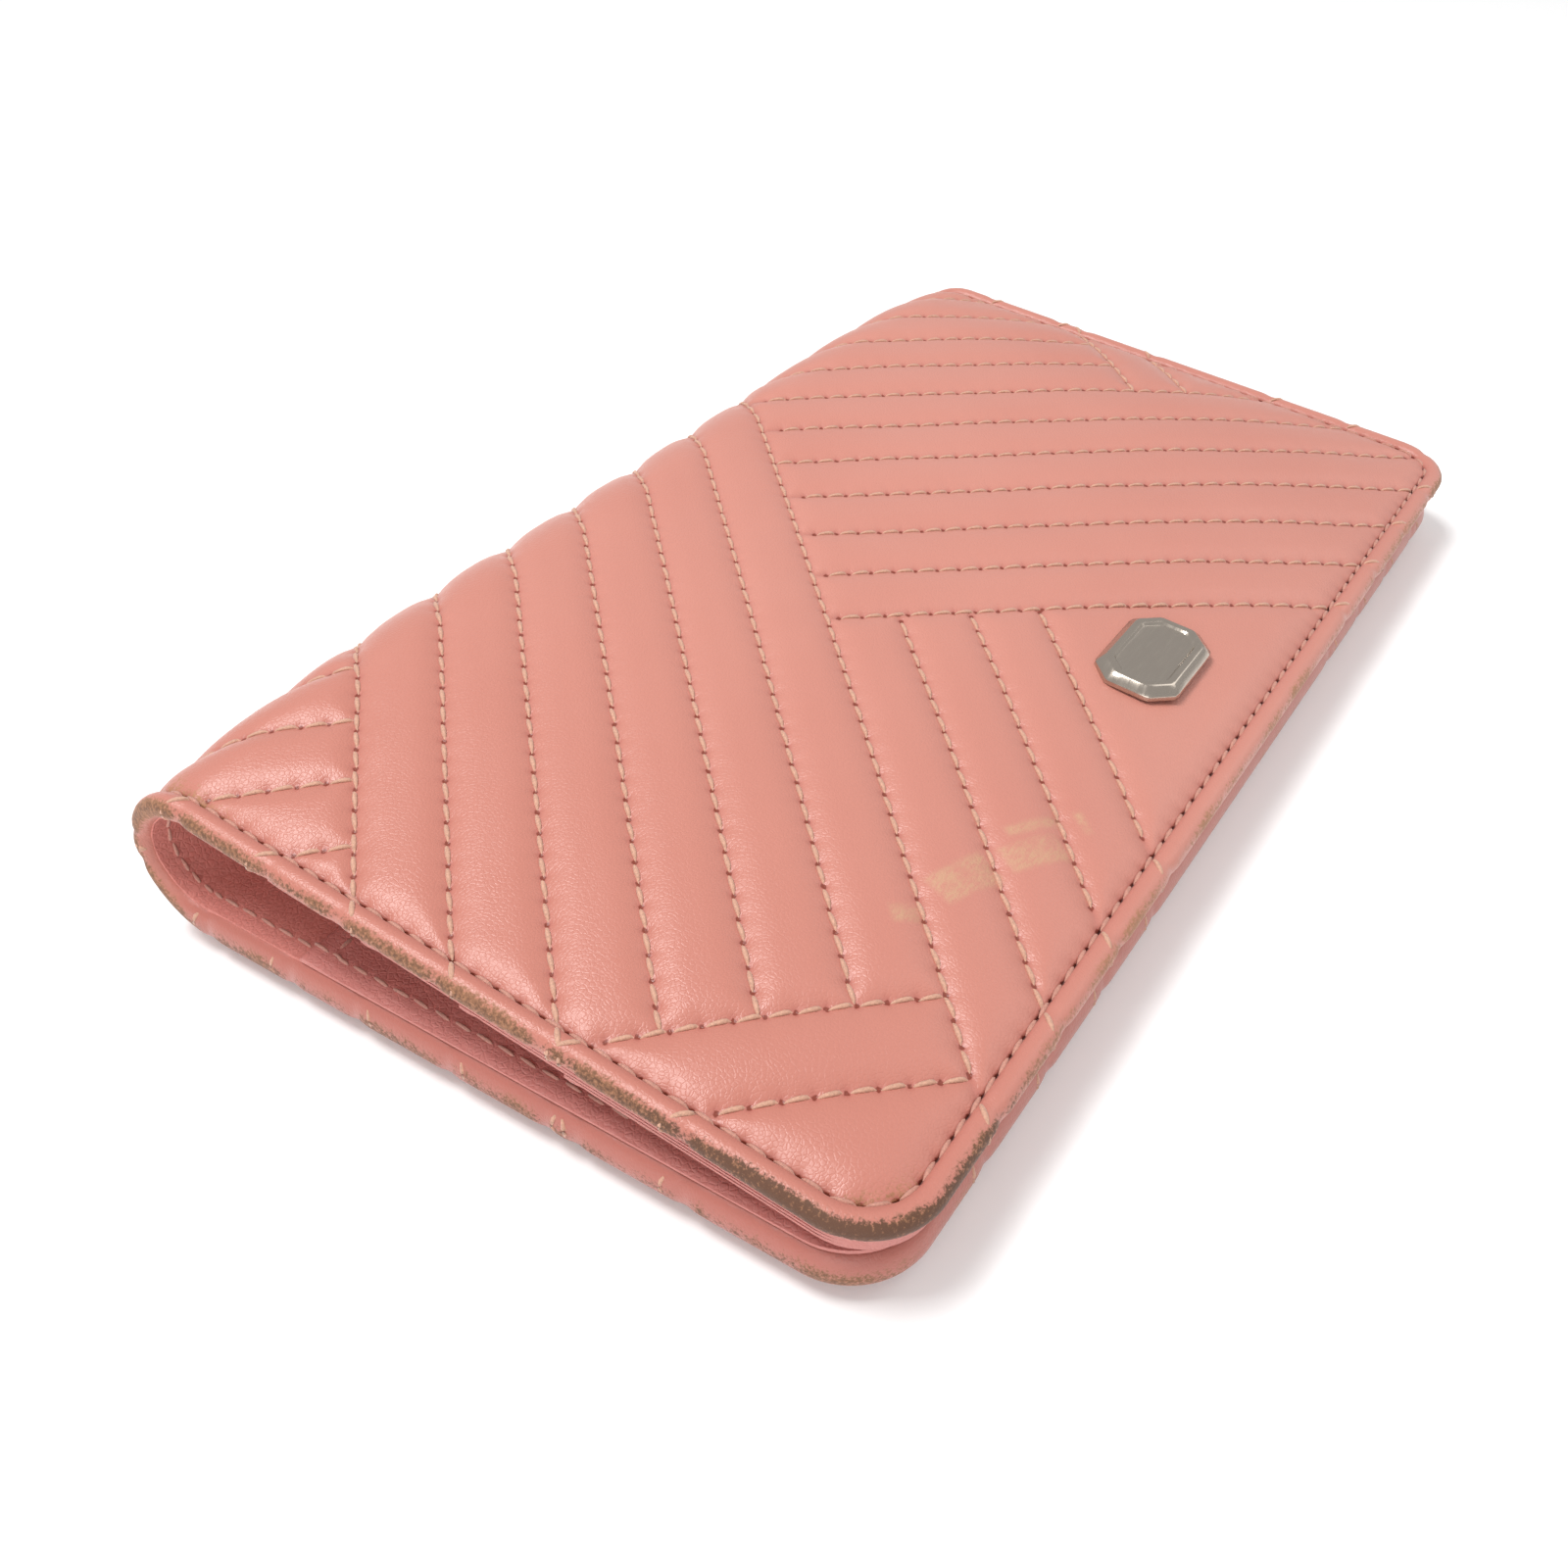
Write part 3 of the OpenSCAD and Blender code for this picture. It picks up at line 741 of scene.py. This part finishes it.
def build_cover():
    """The quilted sheet with its turned edge, parted into four pieces at the cuts."""
    X, W, rows = sheet_grid()
    n, t, hole = skin_height(X, W)
    index = np.arange(X.size).reshape(X.shape)
    loop = border_loop(index)
    bx, bw = X.ravel()[loop], W.ravel()[loop]
    ex, ew = outward(bx, bw)
    notch = edge_notch(bx, bw)
    ring = turned_edge(bx, bw, ex, ew, notch)
    around = ring.shape[1] - 1
    ring_index = X.size + np.arange(len(loop) * around).reshape(len(loop), around)
    ring_index = np.concatenate([loop[:, None], ring_index], 1)
    closed = np.concatenate([ring_index, ring_index[:1]])
    faces = np.concatenate([grid_faces(index), grid_faces(closed)[:, ::-1]])
    verts = np.concatenate([place(X, W, n).reshape(-1, 3), ring[:, 1:].reshape(-1, 3)])
    verts[:, 2] = above_floor(verts[:, 2])
    normals = vertex_normals(verts, faces)

    face = face_fields(X, W, t, hole)
    edge = edge_fields(bx, bw, ex, notch, np.arange(1, around + 1) / (EDGE_STEPS - 1))
    floats = {key: np.concatenate([face[key].ravel(), edge[key].ravel()]) for key in face}

    # Each face goes to the piece that its rows lie in
    row_of = np.concatenate([np.repeat(np.arange(X.shape[0]), X.shape[1]),
                             np.repeat(loop // X.shape[1], around)])
    first = row_of[faces].min(1)
    for part, (name, nodes) in enumerate(COVER_PIECES):
        stop = rows[part + 1] if part < 3 else X.shape[0]
        chosen = faces[(first >= rows[part]) & (first < stop)]
        used, local = np.unique(chosen, return_inverse=True)
        obj = make_object(name, verts[used], local.reshape(-1, 4), normals=normals[used],
                          floats={key: v[used] for key, v in floats.items()})
        dress(obj, COVER)
        attach(obj)
        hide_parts(*nodes)


# ---- stitches ----

RINGS = 7
SIDES = 8
PROFILE_STEPS = 60                # steps round the turned edge's section, for the crossing stitches
CROSSINGS = [(4, 24), (27, 45)]   # first and last step of each crossing stitch
POCKET_STITCH = 2.3               # length of the pockets' stitches
THREAD_RADIUS = 0.28
FINE_RADIUS = 0.25
SLANT = 5.0                       # degrees that a stitch leans from its seam


def sweep(centres, ups, radius):
    """Twisted thread along each row of centres (count, RINGS, 3): vertices and faces of all of them."""
    along = np.gradient(centres, axis=1)
    along /= np.linalg.norm(along, axis=2, keepdims=True)
    side = np.cross(ups, along)
    side /= np.linalg.norm(side, axis=2, keepdims=True)
    up = np.cross(along, side)
    s = np.linspace(-1, 1, RINGS)
    taper = np.sqrt(np.clip(1 - np.abs(s) ** 4, 0.12, 1))[None, :, None]
    turn = np.linspace(0, 2 * math.pi, SIDES, endpoint=False)[None, None, :]
    twist = 1 + 0.16 * np.cos(2 * turn - 3.4 * s[None, :, None])
    a = (radius * taper * twist * np.cos(turn))[..., None]
    b = (0.85 * radius * taper * twist * np.sin(turn))[..., None]
    verts = centres[:, :, None] + a * side[:, :, None] + b * up[:, :, None]
    index = np.arange(RINGS * SIDES).reshape(RINGS, SIDES)
    tube = grid_faces(np.concatenate([index, index[:, :1]], 1))
    caps = []
    for q in range(0, SIDES - 2, 2):
        for ring, order in ((0, (0, q + 1, q + 2, (q + 3) % SIDES)),
                            (RINGS - 1, ((q + 3) % SIDES, q + 2, q + 1, 0))):
            caps.append([index[ring, k] for k in order])
    one = np.concatenate([tube[:, ::-1], np.array(caps)[:, ::-1]])
    faces = one[None] + (np.arange(len(centres)) * RINGS * SIDES)[:, None, None]
    return verts.reshape(-1, 3), faces.reshape(-1, 4)


def sew(name, xs, ws, ns, radius, material, facing=1.0, replaced=(), body=None, bend_height=0.0):
    """Stitches along rows of sheet points, parted into pieces by the joint that they cross."""
    part = np.searchsorted(CUTS, ws.mean(1))
    for k, tag in enumerate(["front", "spine_high", "spine_low", "back"]):
        mine = part == k
        if not mine.any():
            continue
        _, _, ny, nz, _, _ = frame_at(ws[mine])
        ups = np.stack([0 * ny, ny * facing, nz * facing], -1)
        verts, faces = sweep(place(xs[mine], ws[mine], ns[mine]), ups, radius)
        obj = make_object(f"{name}_{tag}", verts, faces)
        dress(obj, material)
        if body is None:
            attach(obj)
        else:
            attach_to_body(obj, body)
        if tag in replaced:
            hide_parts(replaced[tag])


def spaced(x0, w0, x1, w1, pitch, length, slant=0.0):
    """Rows of points for the stitches along a straight run, with a little hand unevenness."""
    run = math.hypot(x1 - x0, w1 - w0)
    count = max(1, int(run / pitch))
    middle = (np.arange(count) + 0.5) * pitch + rng.normal(0, 0.05, count)
    angle = math.atan2(w1 - w0, x1 - x0) + math.radians(slant) + rng.normal(0, 0.025, count)
    s = np.linspace(-length / 2, length / 2, RINGS)
    xs = (x0 + (x1 - x0) * middle / run)[:, None] + np.cos(angle)[:, None] * s
    ws = (w0 + (w1 - w0) * middle / run)[:, None] + np.sin(angle)[:, None] * s
    return xs, ws


def dipped(depth):
    """How a stitch dives at its two holes."""
    return -depth * np.abs(np.linspace(-1, 1, RINGS)) ** 3


def valley_height(x, w):
    """Height of the leather in a valley, away from the holes."""
    n = crown(x, w) - CREASE + uneven(x, w) * smoothstep(0, 6, perimeter_distance(x, w))
    return settled(n, w)


def quilt_rows():
    rows = [spaced(*line, QUILT_STITCH, 2.75, SLANT) for line in LINES]
    xs = np.concatenate([r[0] for r in rows])
    ws = np.concatenate([r[1] for r in rows])
    inside = perimeter_distance(xs, ws).min(1) > 0.1
    xs, ws = xs[inside], ws[inside]
    return xs, ws, valley_height(xs, ws) + 0.17 + dipped(0.42)


def straight_there(x, w):
    """Whether the outline is straight at a point of it, and not in a rounded corner."""
    r = CORNER - MARGIN
    return abs(x) < SIDE - r or MARGIN + r < w < TOTAL - MARGIN - r


def crossing_stitch(ax, aw, ux, uw, first, last):
    """One stitch over the turned edge at (ax, aw), where the quilting runs outwards along (ux, uw)."""
    out, up = roll_profile(np.array([aw]), np.array([1.0]), PROFILE_STEPS)
    out, up = out[0, :PROFILE_STEPS], up[0, :PROFILE_STEPS]
    k = np.linspace(first, last, RINGS).astype(int)
    outward_part = max(abs(ux) if abs(ax) > SIDE - 0.2 else abs(uw), 0.3)
    lift = 0.12 + dipped(0.30)
    slope_out, slope_up = np.gradient(out)[k], np.gradient(up)[k]
    size = np.hypot(slope_out, slope_up)
    far = (out[k] - slope_up / size * lift) / outward_part
    return ax + ux * far, aw + uw * far, up[k] + slope_out / size * lift


def crossing_rows():
    """Where the quilting runs on over the turned edge: two stitches that follow its section."""
    made = []
    for x0, w0, x1, w1 in LINES:
        for ax, aw, bx, bw in ((x0, w0, x1, w1), (x1, w1, x0, w0)):
            if not on_edge(ax, aw) or not straight_there(ax, aw):
                continue
            length = math.hypot(bx - ax, bw - aw)
            ux, uw = (ax - bx) / length, (aw - bw) / length
            for first, last in CROSSINGS:
                made.append(crossing_stitch(ax, aw, ux, uw, first, last))
    return [np.array(column) for column in zip(*made)]


def outline_rows(length, inset, slant):
    """Rows of points for stitches round the sheet, inset from its edge, with rounded corners."""
    half, low_w, high_w, r = HALF - inset, inset, TOTAL - inset, CORNER - inset
    xs, ws = [], []
    for side in (-1, 1):
        x, w = spaced(side * half, low_w + r, side * half, high_w - r, EDGE_STITCH, length, slant * side)
        xs.append(x)
        ws.append(w)
    for edge in (low_w, high_w):
        x, w = spaced(-half + r, edge, half - r, edge, EDGE_STITCH, length, slant)
        xs.append(x)
        ws.append(w)
    turns = max(2, int(round(r * math.pi / 2 / EDGE_STITCH)))
    for side in (-1, 1):
        for edge, sign in ((low_w, 1), (high_w, -1)):
            for i in range(turns):
                a = math.pi / 2 * (i + 0.5) / turns
                s = np.linspace(-length / 2, length / 2, RINGS) / r
                xs.append((side * (half - r + r * np.cos(a + s)))[None])
                ws.append((edge + sign * (r - r * np.sin(a + s)))[None])
    return np.concatenate(xs), np.concatenate(ws)


# ---- linings and pockets ----

def slab(name, xs, ws, outer, inner, corner=(False, False), keep=None, rim=0.16, r=8.5):
    """A closed leather sheet between two depths, each a function of (x, w)."""
    X, W = np.meshgrid(xs, ws)
    half = xs.max()
    X, W = round_corners(X, W, half, ws.min(), ws.max(), r, corner)
    side = np.minimum(half - np.abs(X), np.minimum(W - ws.min(), ws.max() - W))
    soft = 1 - np.clip(side / 0.5, 0, 1)
    top = place(X, W, rim * soft ** 2 - inner(X, W)).reshape(-1, 3)
    bottom = place(X, W, -outer(X, W)).reshape(-1, 3)
    index = np.arange(X.size).reshape(X.shape)
    faces = grid_faces(index)
    if keep is not None:
        centre_x = X.ravel()[faces].mean(1)
        centre_w = W.ravel()[faces].mean(1)
        faces = faces[keep(centre_x, centre_w)]
    edges = np.concatenate([faces[:, [k, (k + 1) % 4]] for k in range(4)])
    key = np.sort(edges, 1)
    _, first, counts = np.unique(key[:, 0] * X.size + key[:, 1], return_index=True, return_counts=True)
    border = edges[first[counts == 1]]
    walls = np.stack([border[:, 1], border[:, 0], border[:, 0] + X.size, border[:, 1] + X.size], -1)
    every = np.concatenate([faces, faces[:, ::-1] + X.size, walls])
    used, local = np.unique(every, return_inverse=True)
    verts = np.concatenate([top, bottom])[used]
    obj = make_object(name, verts, local.reshape(-1, 4))
    obj.data.set_sharp_from_angle(angle=math.radians(50))
    return obj


def level(depth):
    """A depth that is the same everywhere."""
    return lambda x, w: np.full(x.shape, float(depth))


def inner_depth(w):
    """Depth of the innermost surface at w, for the inner stitches."""
    v = FRONT - w
    u = w - FRONT - ARC
    d = np.full(np.shape(w), LINING_FRONT)
    for k, mouth in enumerate(MOUTHS):
        d = np.where(v > mouth, TIER_DEPTHS[k], d)
    d = np.where(v < 0, lining_depth(w), d)
    d = np.where(u > NOTE_MOUTH, NOTE_DEPTH + HEM * (u < NOTE_MOUTH + HEM_WIDTH), d)
    return d


def corners_of(node):
    return np.array([v.co for v in frame["nodes"][node].data.vertices]) / MM


def depth_range(node, leaf):
    """Depths of a CAD sheet's outer and inner faces in its leaf."""
    if leaf == "back":
        return low(node)[2] - EDGE_LIFT, high(node)[2] - EDGE_LIFT
    co = corners_of(node)
    depth = (co[:, 1] - SEAM_Y) * math.sin(TILT) - (co[:, 2] - SEAM_Z) * math.cos(TILT)
    return depth.min(), depth.max()


def mouth_of(node, leaf):
    """Distance from the spine seam to the nearest end of a CAD sheet."""
    co = corners_of(node)
    if leaf == "back":
        return SPINE_Y - co[:, 1].max()
    along = (co[:, 1] - SEAM_Y) * math.cos(TILT) + (co[:, 2] - SEAM_Z) * math.sin(TILT)
    return -along.max()


LINING_FRONT = 2.65     # depth of the lining's inner surface in the front half
LINING_THICK = 0.6
POCKET_HALF = HALF - 1.0
TIERS = ["card_tier_1", "card_tier_2", "card_tier_3", "card_front_panel"]
TIER_DEPTHS = [depth_range(t, "front")[1] for t in TIERS]
MOUTHS = [mouth_of(t, "front") for t in TIERS]
FACING_INNER = depth_range("back_lining", "back")[1]
NOTE_DEPTH = depth_range("note_pocket", "back")[1]
NOTE_MOUTH = mouth_of("note_pocket", "back")
HEM = depth_range("note_pocket_hem", "back")[1] - NOTE_DEPTH
HEM_WIDTH = high("note_pocket_hem")[1] - low("note_pocket_hem")[1]
ZIP_Y = (low("zip_slider")[1] + high("zip_slider")[1]) / 2
ZIP_W = FRONT + ARC + SPINE_Y - ZIP_Y
SLOT_HALF = 3.5         # half the width of the slot in the lining for the zip
ZIP_HALF = high("zip_stops")[0] + 0.4


def lining_depth(w):
    """Depth of the lining's inner surface, from the front's to the zip facing's."""
    return LINING_FRONT + (FACING_INNER - LINING_FRONT) * smoothstep(FRONT + 0.45 * ARC,
                                                                     FRONT + ARC + 1.0, w)


LINING_PIECES = [
    ("lining_front", ("front_lining", "spine_lining_3")),
    ("lining_spine_high", ("spine_lining_2",)),
    ("lining_spine_low", ("spine_lining_1",)),
    ("lining_back", ("back_lining",)),
]


def build_lining():
    """The grained lining from the first card tier, round the spine, to the banknote pocket."""
    half = HALF - 1.2
    lap = 6.0
    xs = np.unique(np.concatenate([steps(-half, half, 1.6), [-ZIP_HALF, ZIP_HALF]]))
    slot = [ZIP_W - SLOT_HALF, ZIP_W + SLOT_HALF]
    stops = [FRONT - MOUTHS[0] - lap, *CUTS, FRONT + ARC + NOTE_MOUTH + lap]

    def inner(x, w):
        return lining_depth(w)

    def outer(x, w):
        return lining_depth(w) - LINING_THICK

    def beside_slot(x, w):
        return ~((np.abs(x) < ZIP_HALF) & (w > slot[0]) & (w < slot[1]))

    for part, (name, nodes) in enumerate(LINING_PIECES):
        ws = steps(stops[part], stops[part + 1], 0.8)
        keep = None
        if name == "lining_back":
            ws = np.unique(np.concatenate([ws, slot]))
            keep = beside_slot
        obj = slab(name, xs, ws, outer, inner, keep=keep, rim=0.0)
        dress(obj, LINING)
        attach(obj)
        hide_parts(*nodes)


def tier_depth(inner, mouth_w):
    """Inner surface of a card tier: swollen along its turned mouth, dipped at the middle seam."""
    def depth(x, w):
        in_from_mouth = mouth_w - w
        swell = 0.22 * np.exp(-((in_from_mouth - 0.9) / 0.9) ** 2)
        groove = 0.10 * np.exp(-((in_from_mouth - 2.6) / 0.5) ** 2)
        ripple = 0.05 * np.sin(x / 9.0 + w / 7.0)
        return inner + (swell - groove) + ripple - 0.25 * np.exp(-(x / 1.0) ** 2)
    return depth


def build_tiers():
    fine_band = 5.0
    xs = steps(-POCKET_HALF, POCKET_HALF, 1.2)
    for node, mouth in zip(TIERS, MOUTHS):
        outer, inner = depth_range(node, "front")
        mouth_w = FRONT - mouth
        ws = np.unique(np.concatenate([steps(1.0, mouth_w - fine_band, 1.6),
                                       steps(mouth_w - fine_band, mouth_w, 0.35)]))
        obj = slab(node + "_leather", xs, ws, level(outer), tier_depth(inner, mouth_w),
                   corner=(True, False))
        dress(obj, POCKET)
        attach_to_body(obj, "front_half")
        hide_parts(node)


def note_pocket_depth(inner, mouth_w):
    """Inner surface of the banknote pocket: its hem, the groove of its stitches, and wrinkles."""
    def depth(x, w):
        u = w - mouth_w
        hem = HEM * smoothstep(0.0, 0.5, u) * (1 - smoothstep(HEM_WIDTH - 0.6, HEM_WIDTH + 0.2, u))
        wrinkle = 0.10 * np.sin(x / 5.5 + 1.5 * np.sin(w / 8.0)) * np.sin(w / 6.0 + x / 21.0)
        groove = -0.22 * np.exp(-((u - HEM_WIDTH + 1.0) / 0.5) ** 2)
        return inner + hem + groove + wrinkle * smoothstep(HEM_WIDTH, HEM_WIDTH + 6, u) * 0.8
    return depth


def build_note_pocket():
    xs = steps(-POCKET_HALF, POCKET_HALF, 1.2)
    outer, inner = depth_range("note_pocket", "back")
    mouth_w = FRONT + ARC + NOTE_MOUTH
    coarse_from = mouth_w + HEM_WIDTH + 2
    ws = np.unique(np.concatenate([steps(mouth_w, coarse_from, 0.35),
                                   steps(coarse_from, TOTAL - 1.0, 1.2)]))
    obj = slab("note_pocket_leather", xs, ws, level(outer), note_pocket_depth(inner, mouth_w),
               corner=(False, True))
    dress(obj, POCKET)
    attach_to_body(obj, "back_half")
    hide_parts("note_pocket", "note_pocket_hem")


def seam_rows():
    """Rows on the card tiers, then rows on the back lining and the banknote pocket."""
    front, back = [], []

    def seam(rows, x0, w0, x1, w1, height):
        x, w = spaced(x0, w0, x1, w1, EDGE_STITCH, POCKET_STITCH)
        rows.append((x, w, 0 * x + height - dipped(0.3)))

    half = HALF - 4.0
    for k in range(3):
        near_w, far_w = FRONT - MOUTHS[k + 1] + 1.0, FRONT - MOUTHS[k] - 1.0
        seam(front, 0, near_w, 0, far_w, 0.12 - TIER_DEPTHS[k])
    for mouth, depth in zip(MOUTHS, TIER_DEPTHS):
        w = FRONT - mouth - 2.6
        seam(front, -half, w, half, w, -0.05 - depth)
    w = FRONT + ARC + NOTE_MOUTH + HEM_WIDTH - 1.0
    seam(back, -half, w, half, w, -NOTE_DEPTH - HEM * 0.6)
    for w in (ZIP_W - SLOT_HALF - 1.3, ZIP_W + SLOT_HALF + 1.3):
        seam(back, -ZIP_HALF, w, ZIP_HALF, w, -FACING_INNER - 0.12)
    return [[np.concatenate(column) for column in zip(*rows)] for rows in (front, back)]


def build_stitches():
    sew("quilt_thread", *quilt_rows(), THREAD_RADIUS, QUILT_THREAD)
    sew("quilt_crossing", *crossing_rows(), THREAD_RADIUS, QUILT_THREAD)
    xs, ws = outline_rows(2.5, MARGIN, SLANT)
    sew("edge_thread", xs, ws, 0 * xs - 0.20 + dipped(0.30), FINE_RADIUS, EDGE_THREAD,
        replaced={"front": "front_edge_thread", "back": "back_edge_thread"})
    xs, ws = outline_rows(2.8, MARGIN + 0.4, -SLANT)
    sew("inner_thread", xs, ws, -inner_depth(ws) - 0.10 - dipped(0.3), 0.22, INNER_THREAD,
        facing=-1.0, bend_height=INNER_HEIGHT)
    front, back = seam_rows()
    sew("card_thread", *front, FINE_RADIUS, INNER_THREAD, -1.0,
        {"front": "card_divider_thread"}, "front_half")
    sew("pocket_thread", *back, FINE_RADIUS, INNER_THREAD, -1.0,
        {"back": "note_pocket_thread"}, "back_half")


# ---- metal parts ----

def rounded_copy(node, name, body, width, segments=3):
    """A copy of a metal CAD piece with its edges rounded over, which stands for it."""
    mesh = frame["nodes"][node].data.copy()
    mesh.materials.clear()
    obj = bpy.data.objects.new(name, mesh)
    bpy.context.scene.collection.objects.link(obj)
    mesh.materials.append(ZIP_METAL)
    merge = obj.modifiers.new("weld", "WELD")
    merge.merge_threshold = 0.00001
    bevel = obj.modifiers.new("bevel", "BEVEL")
    bevel.width = width * MM
    bevel.segments = segments
    bevel.limit_method = "ANGLE"
    bevel.angle_limit = math.radians(35)
    graph = bpy.context.evaluated_depsgraph_get()
    final = bpy.data.meshes.new_from_object(obj.evaluated_get(graph))
    obj.modifiers.clear()
    obj.data = final
    final.polygons.foreach_set("use_smooth", np.ones(len(final.polygons), bool))
    final.set_sharp_from_angle(angle=math.radians(40))
    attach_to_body(obj, body)
    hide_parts(node)


def emblem_outline(shrink, per_side):
    """Points round the emblem, a bar with cut corners, shrunk inwards."""
    a, b = EMBLEM_LENGTH / 2 - shrink, EMBLEM_WIDTH / 2 - shrink
    c = EMBLEM_WIDTH / 4 - 0.42 * shrink
    corners = [(a, -b + c), (a, b - c), (a - c, b), (-a + c, b), (-a, b - c), (-a, -b + c),
               (-a + c, -b), (a - c, -b)]
    points = []
    for (x0, w0), (x1, w1) in zip(corners, corners[1:] + corners[:1]):
        for s in np.linspace(0.06, 0.94, per_side):
            points.append((x0 + (x1 - x0) * s, w0 + (w1 - w0) * s))
    return np.array(points)


def build_emblem():
    """A plain bar with cut corners: polished bevel, raised rim and a sunk field."""
    top, bottom = [-depth for depth in depth_range("emblem_plate", "front")]

    rows = [(0.15, bottom), (0.0, bottom + 0.15), (0.0, bottom + 0.7), (0.06, bottom + 0.85),
            (1.0, top - 0.12), (1.12, top - 0.03), (1.3, top), (1.9, top), (2.02, top - 0.03),
            (2.3, top - 0.32), (2.45, top - 0.36), (3.4, top - 0.36)]
    per_side = 5
    count = 8 * per_side
    verts = []
    for shrink, n in rows:
        p = emblem_outline(shrink, per_side)
        verts.append(place(EMBLEM_X + p[:, 0], EMBLEM_W + p[:, 1], np.full(count, n)))
    for _, n in (rows[-1], rows[0]):
        verts.append(place(EMBLEM_X, EMBLEM_W, n)[None])
    verts = np.concatenate(verts)
    index = np.arange(len(rows) * count).reshape(len(rows), count)
    index = np.concatenate([index, index[:, :1]], 1)
    faces = [list(f) for f in grid_faces(index)]
    top_centre, bottom_centre = len(rows) * count, len(rows) * count + 1
    for i in range(count):
        faces.append([index[-1, i], index[-1, i + 1], top_centre])
        faces.append([index[0, i + 1], index[0, i], bottom_centre])
    mesh = bpy.data.meshes.new("emblem")
    mesh.from_pydata([tuple(v * MM) for v in verts], [], [[int(i) for i in f] for f in faces])
    mesh.validate()
    mesh.update()
    obj = bpy.data.objects.new("emblem", mesh)
    bpy.context.scene.collection.objects.link(obj)
    mesh.polygons.foreach_set("use_smooth", np.ones(len(mesh.polygons), bool))
    mesh.set_sharp_from_angle(angle=math.radians(28))
    dress(obj, EMBLEM_METAL)
    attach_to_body(obj, "front_half")
    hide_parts("emblem_plate")


def build_metal():
    build_emblem()
    rounded_copy("zip_slider", "zip_slider_body", "slider", 0.14)
    rounded_copy("zip_pull", "zip_pull_tab", "pull", 0.16)
    rounded_copy("zip_teeth_spine_side", "zip_teeth_a", "back_half", 0.2, 2)
    rounded_copy("zip_teeth_edge_side", "zip_teeth_b", "back_half", 0.2, 2)
    rounded_copy("zip_stops", "zip_end_stops", "back_half", 0.3)


def dress_frame():
    """Better materials for the CAD pieces that stay."""
    tape = cloth("zip_tape_weave", (0.50, 0.18, 0.165), 0.0006)
    lining_cloth = cloth("coin_cloth_weave", (0.36, 0.13, 0.13), 0.0005)
    board = board_material()
    wanted = {"zip_tape_spine_side": tape, "zip_tape_edge_side": tape, "coin_pocket_rear": lining_cloth,
              "coin_pocket_gusset": lining_cloth, "coin_pocket_front": lining_cloth,
              "front_board": board, "back_board": board, "emblem_posts": EMBLEM_METAL,
              "emblem_backing": EMBLEM_METAL}
    for node, material in wanted.items():
        obj = frame["nodes"][node]
        for entry in obj.material_slots:
            entry.material = material
        if not obj.material_slots:
            obj.data.materials.append(material)


# ---- stage, light and camera ----

def build_stage():
    reach = 6000.0
    corners = [(-reach, -reach, 0), (reach, -reach, 0), (reach, reach, 0), (-reach, reach, 0)]
    floor = make_object("floor", corners, [[0, 1, 2, 3]])
    floor.location.z = -0.0001
    m = Nodes("pale_floor")
    tone = m.mix(m.noise(3.0), (0.87, 0.87, 0.87), (0.89, 0.89, 0.89))
    floor.data.materials.append(m.finish(tone, 0.8, Specular_IOR_Level=0.1, Emission_Strength=0.13))


def area_light(name, place_at, target, size, power):
    light = bpy.data.lights.new(name, "AREA")
    light.shape = "RECTANGLE"
    light.size, light.size_y = size
    light.energy = power
    obj = bpy.data.objects.new(name, light)
    obj.location = place_at
    obj.rotation_euler = (Vector(target) - Vector(place_at)).to_track_quat("-Z", "Y").to_euler()
    bpy.context.scene.collection.objects.link(obj)


def build_lights():
    area_light("key", (-0.20, 0.28, 0.88), (0, 0, 0), (0.42, 0.30), 7.0)
    area_light("fill", (-0.85, -0.35, 0.35), (-0.05, 0, 0.01), (0.7, 0.4), 2.3)
    area_light("side", (0.6, -0.5, 0.75), (0, 0, 0), (0.7, 0.7), 1.8)
    world = bpy.data.worlds.new("studio")
    world.use_nodes = True
    color, strength = world.node_tree.nodes["Background"].inputs[:2]
    color.default_value = (1, 1, 1, 1)
    strength.default_value = 0.49
    bpy.context.scene.world = world
    bpy.context.scene.view_settings.view_transform = "Standard"


def build_camera():
    """Above the near end of the open edge, looking along the wallet towards the fold."""
    azimuth, elevation, roll = math.radians(-56.34), math.radians(38.3), math.radians(0.41)
    data = bpy.data.cameras.new("camera")
    data.sensor_width = 36.0
    data.lens = 34.92
    data.clip_start = 0.01
    camera = bpy.data.objects.new("camera", data)
    camera.location = (-0.1666, -0.0883, 0.1299)
    back = Vector((math.sin(azimuth) * math.cos(elevation), -math.cos(azimuth) * math.cos(elevation),
                   math.sin(elevation)))
    turn = (-back).to_track_quat("-Z", "Y")
    turn.rotate(Quaternion(back, -roll))
    camera.rotation_euler = turn.to_euler()
    bpy.context.scene.collection.objects.link(camera)
    bpy.context.scene.camera = camera


build_cover()
build_lining()
build_tiers()
build_note_pocket()
build_stitches()
build_metal()
dress_frame()
build_stage()
build_lights()
build_camera()
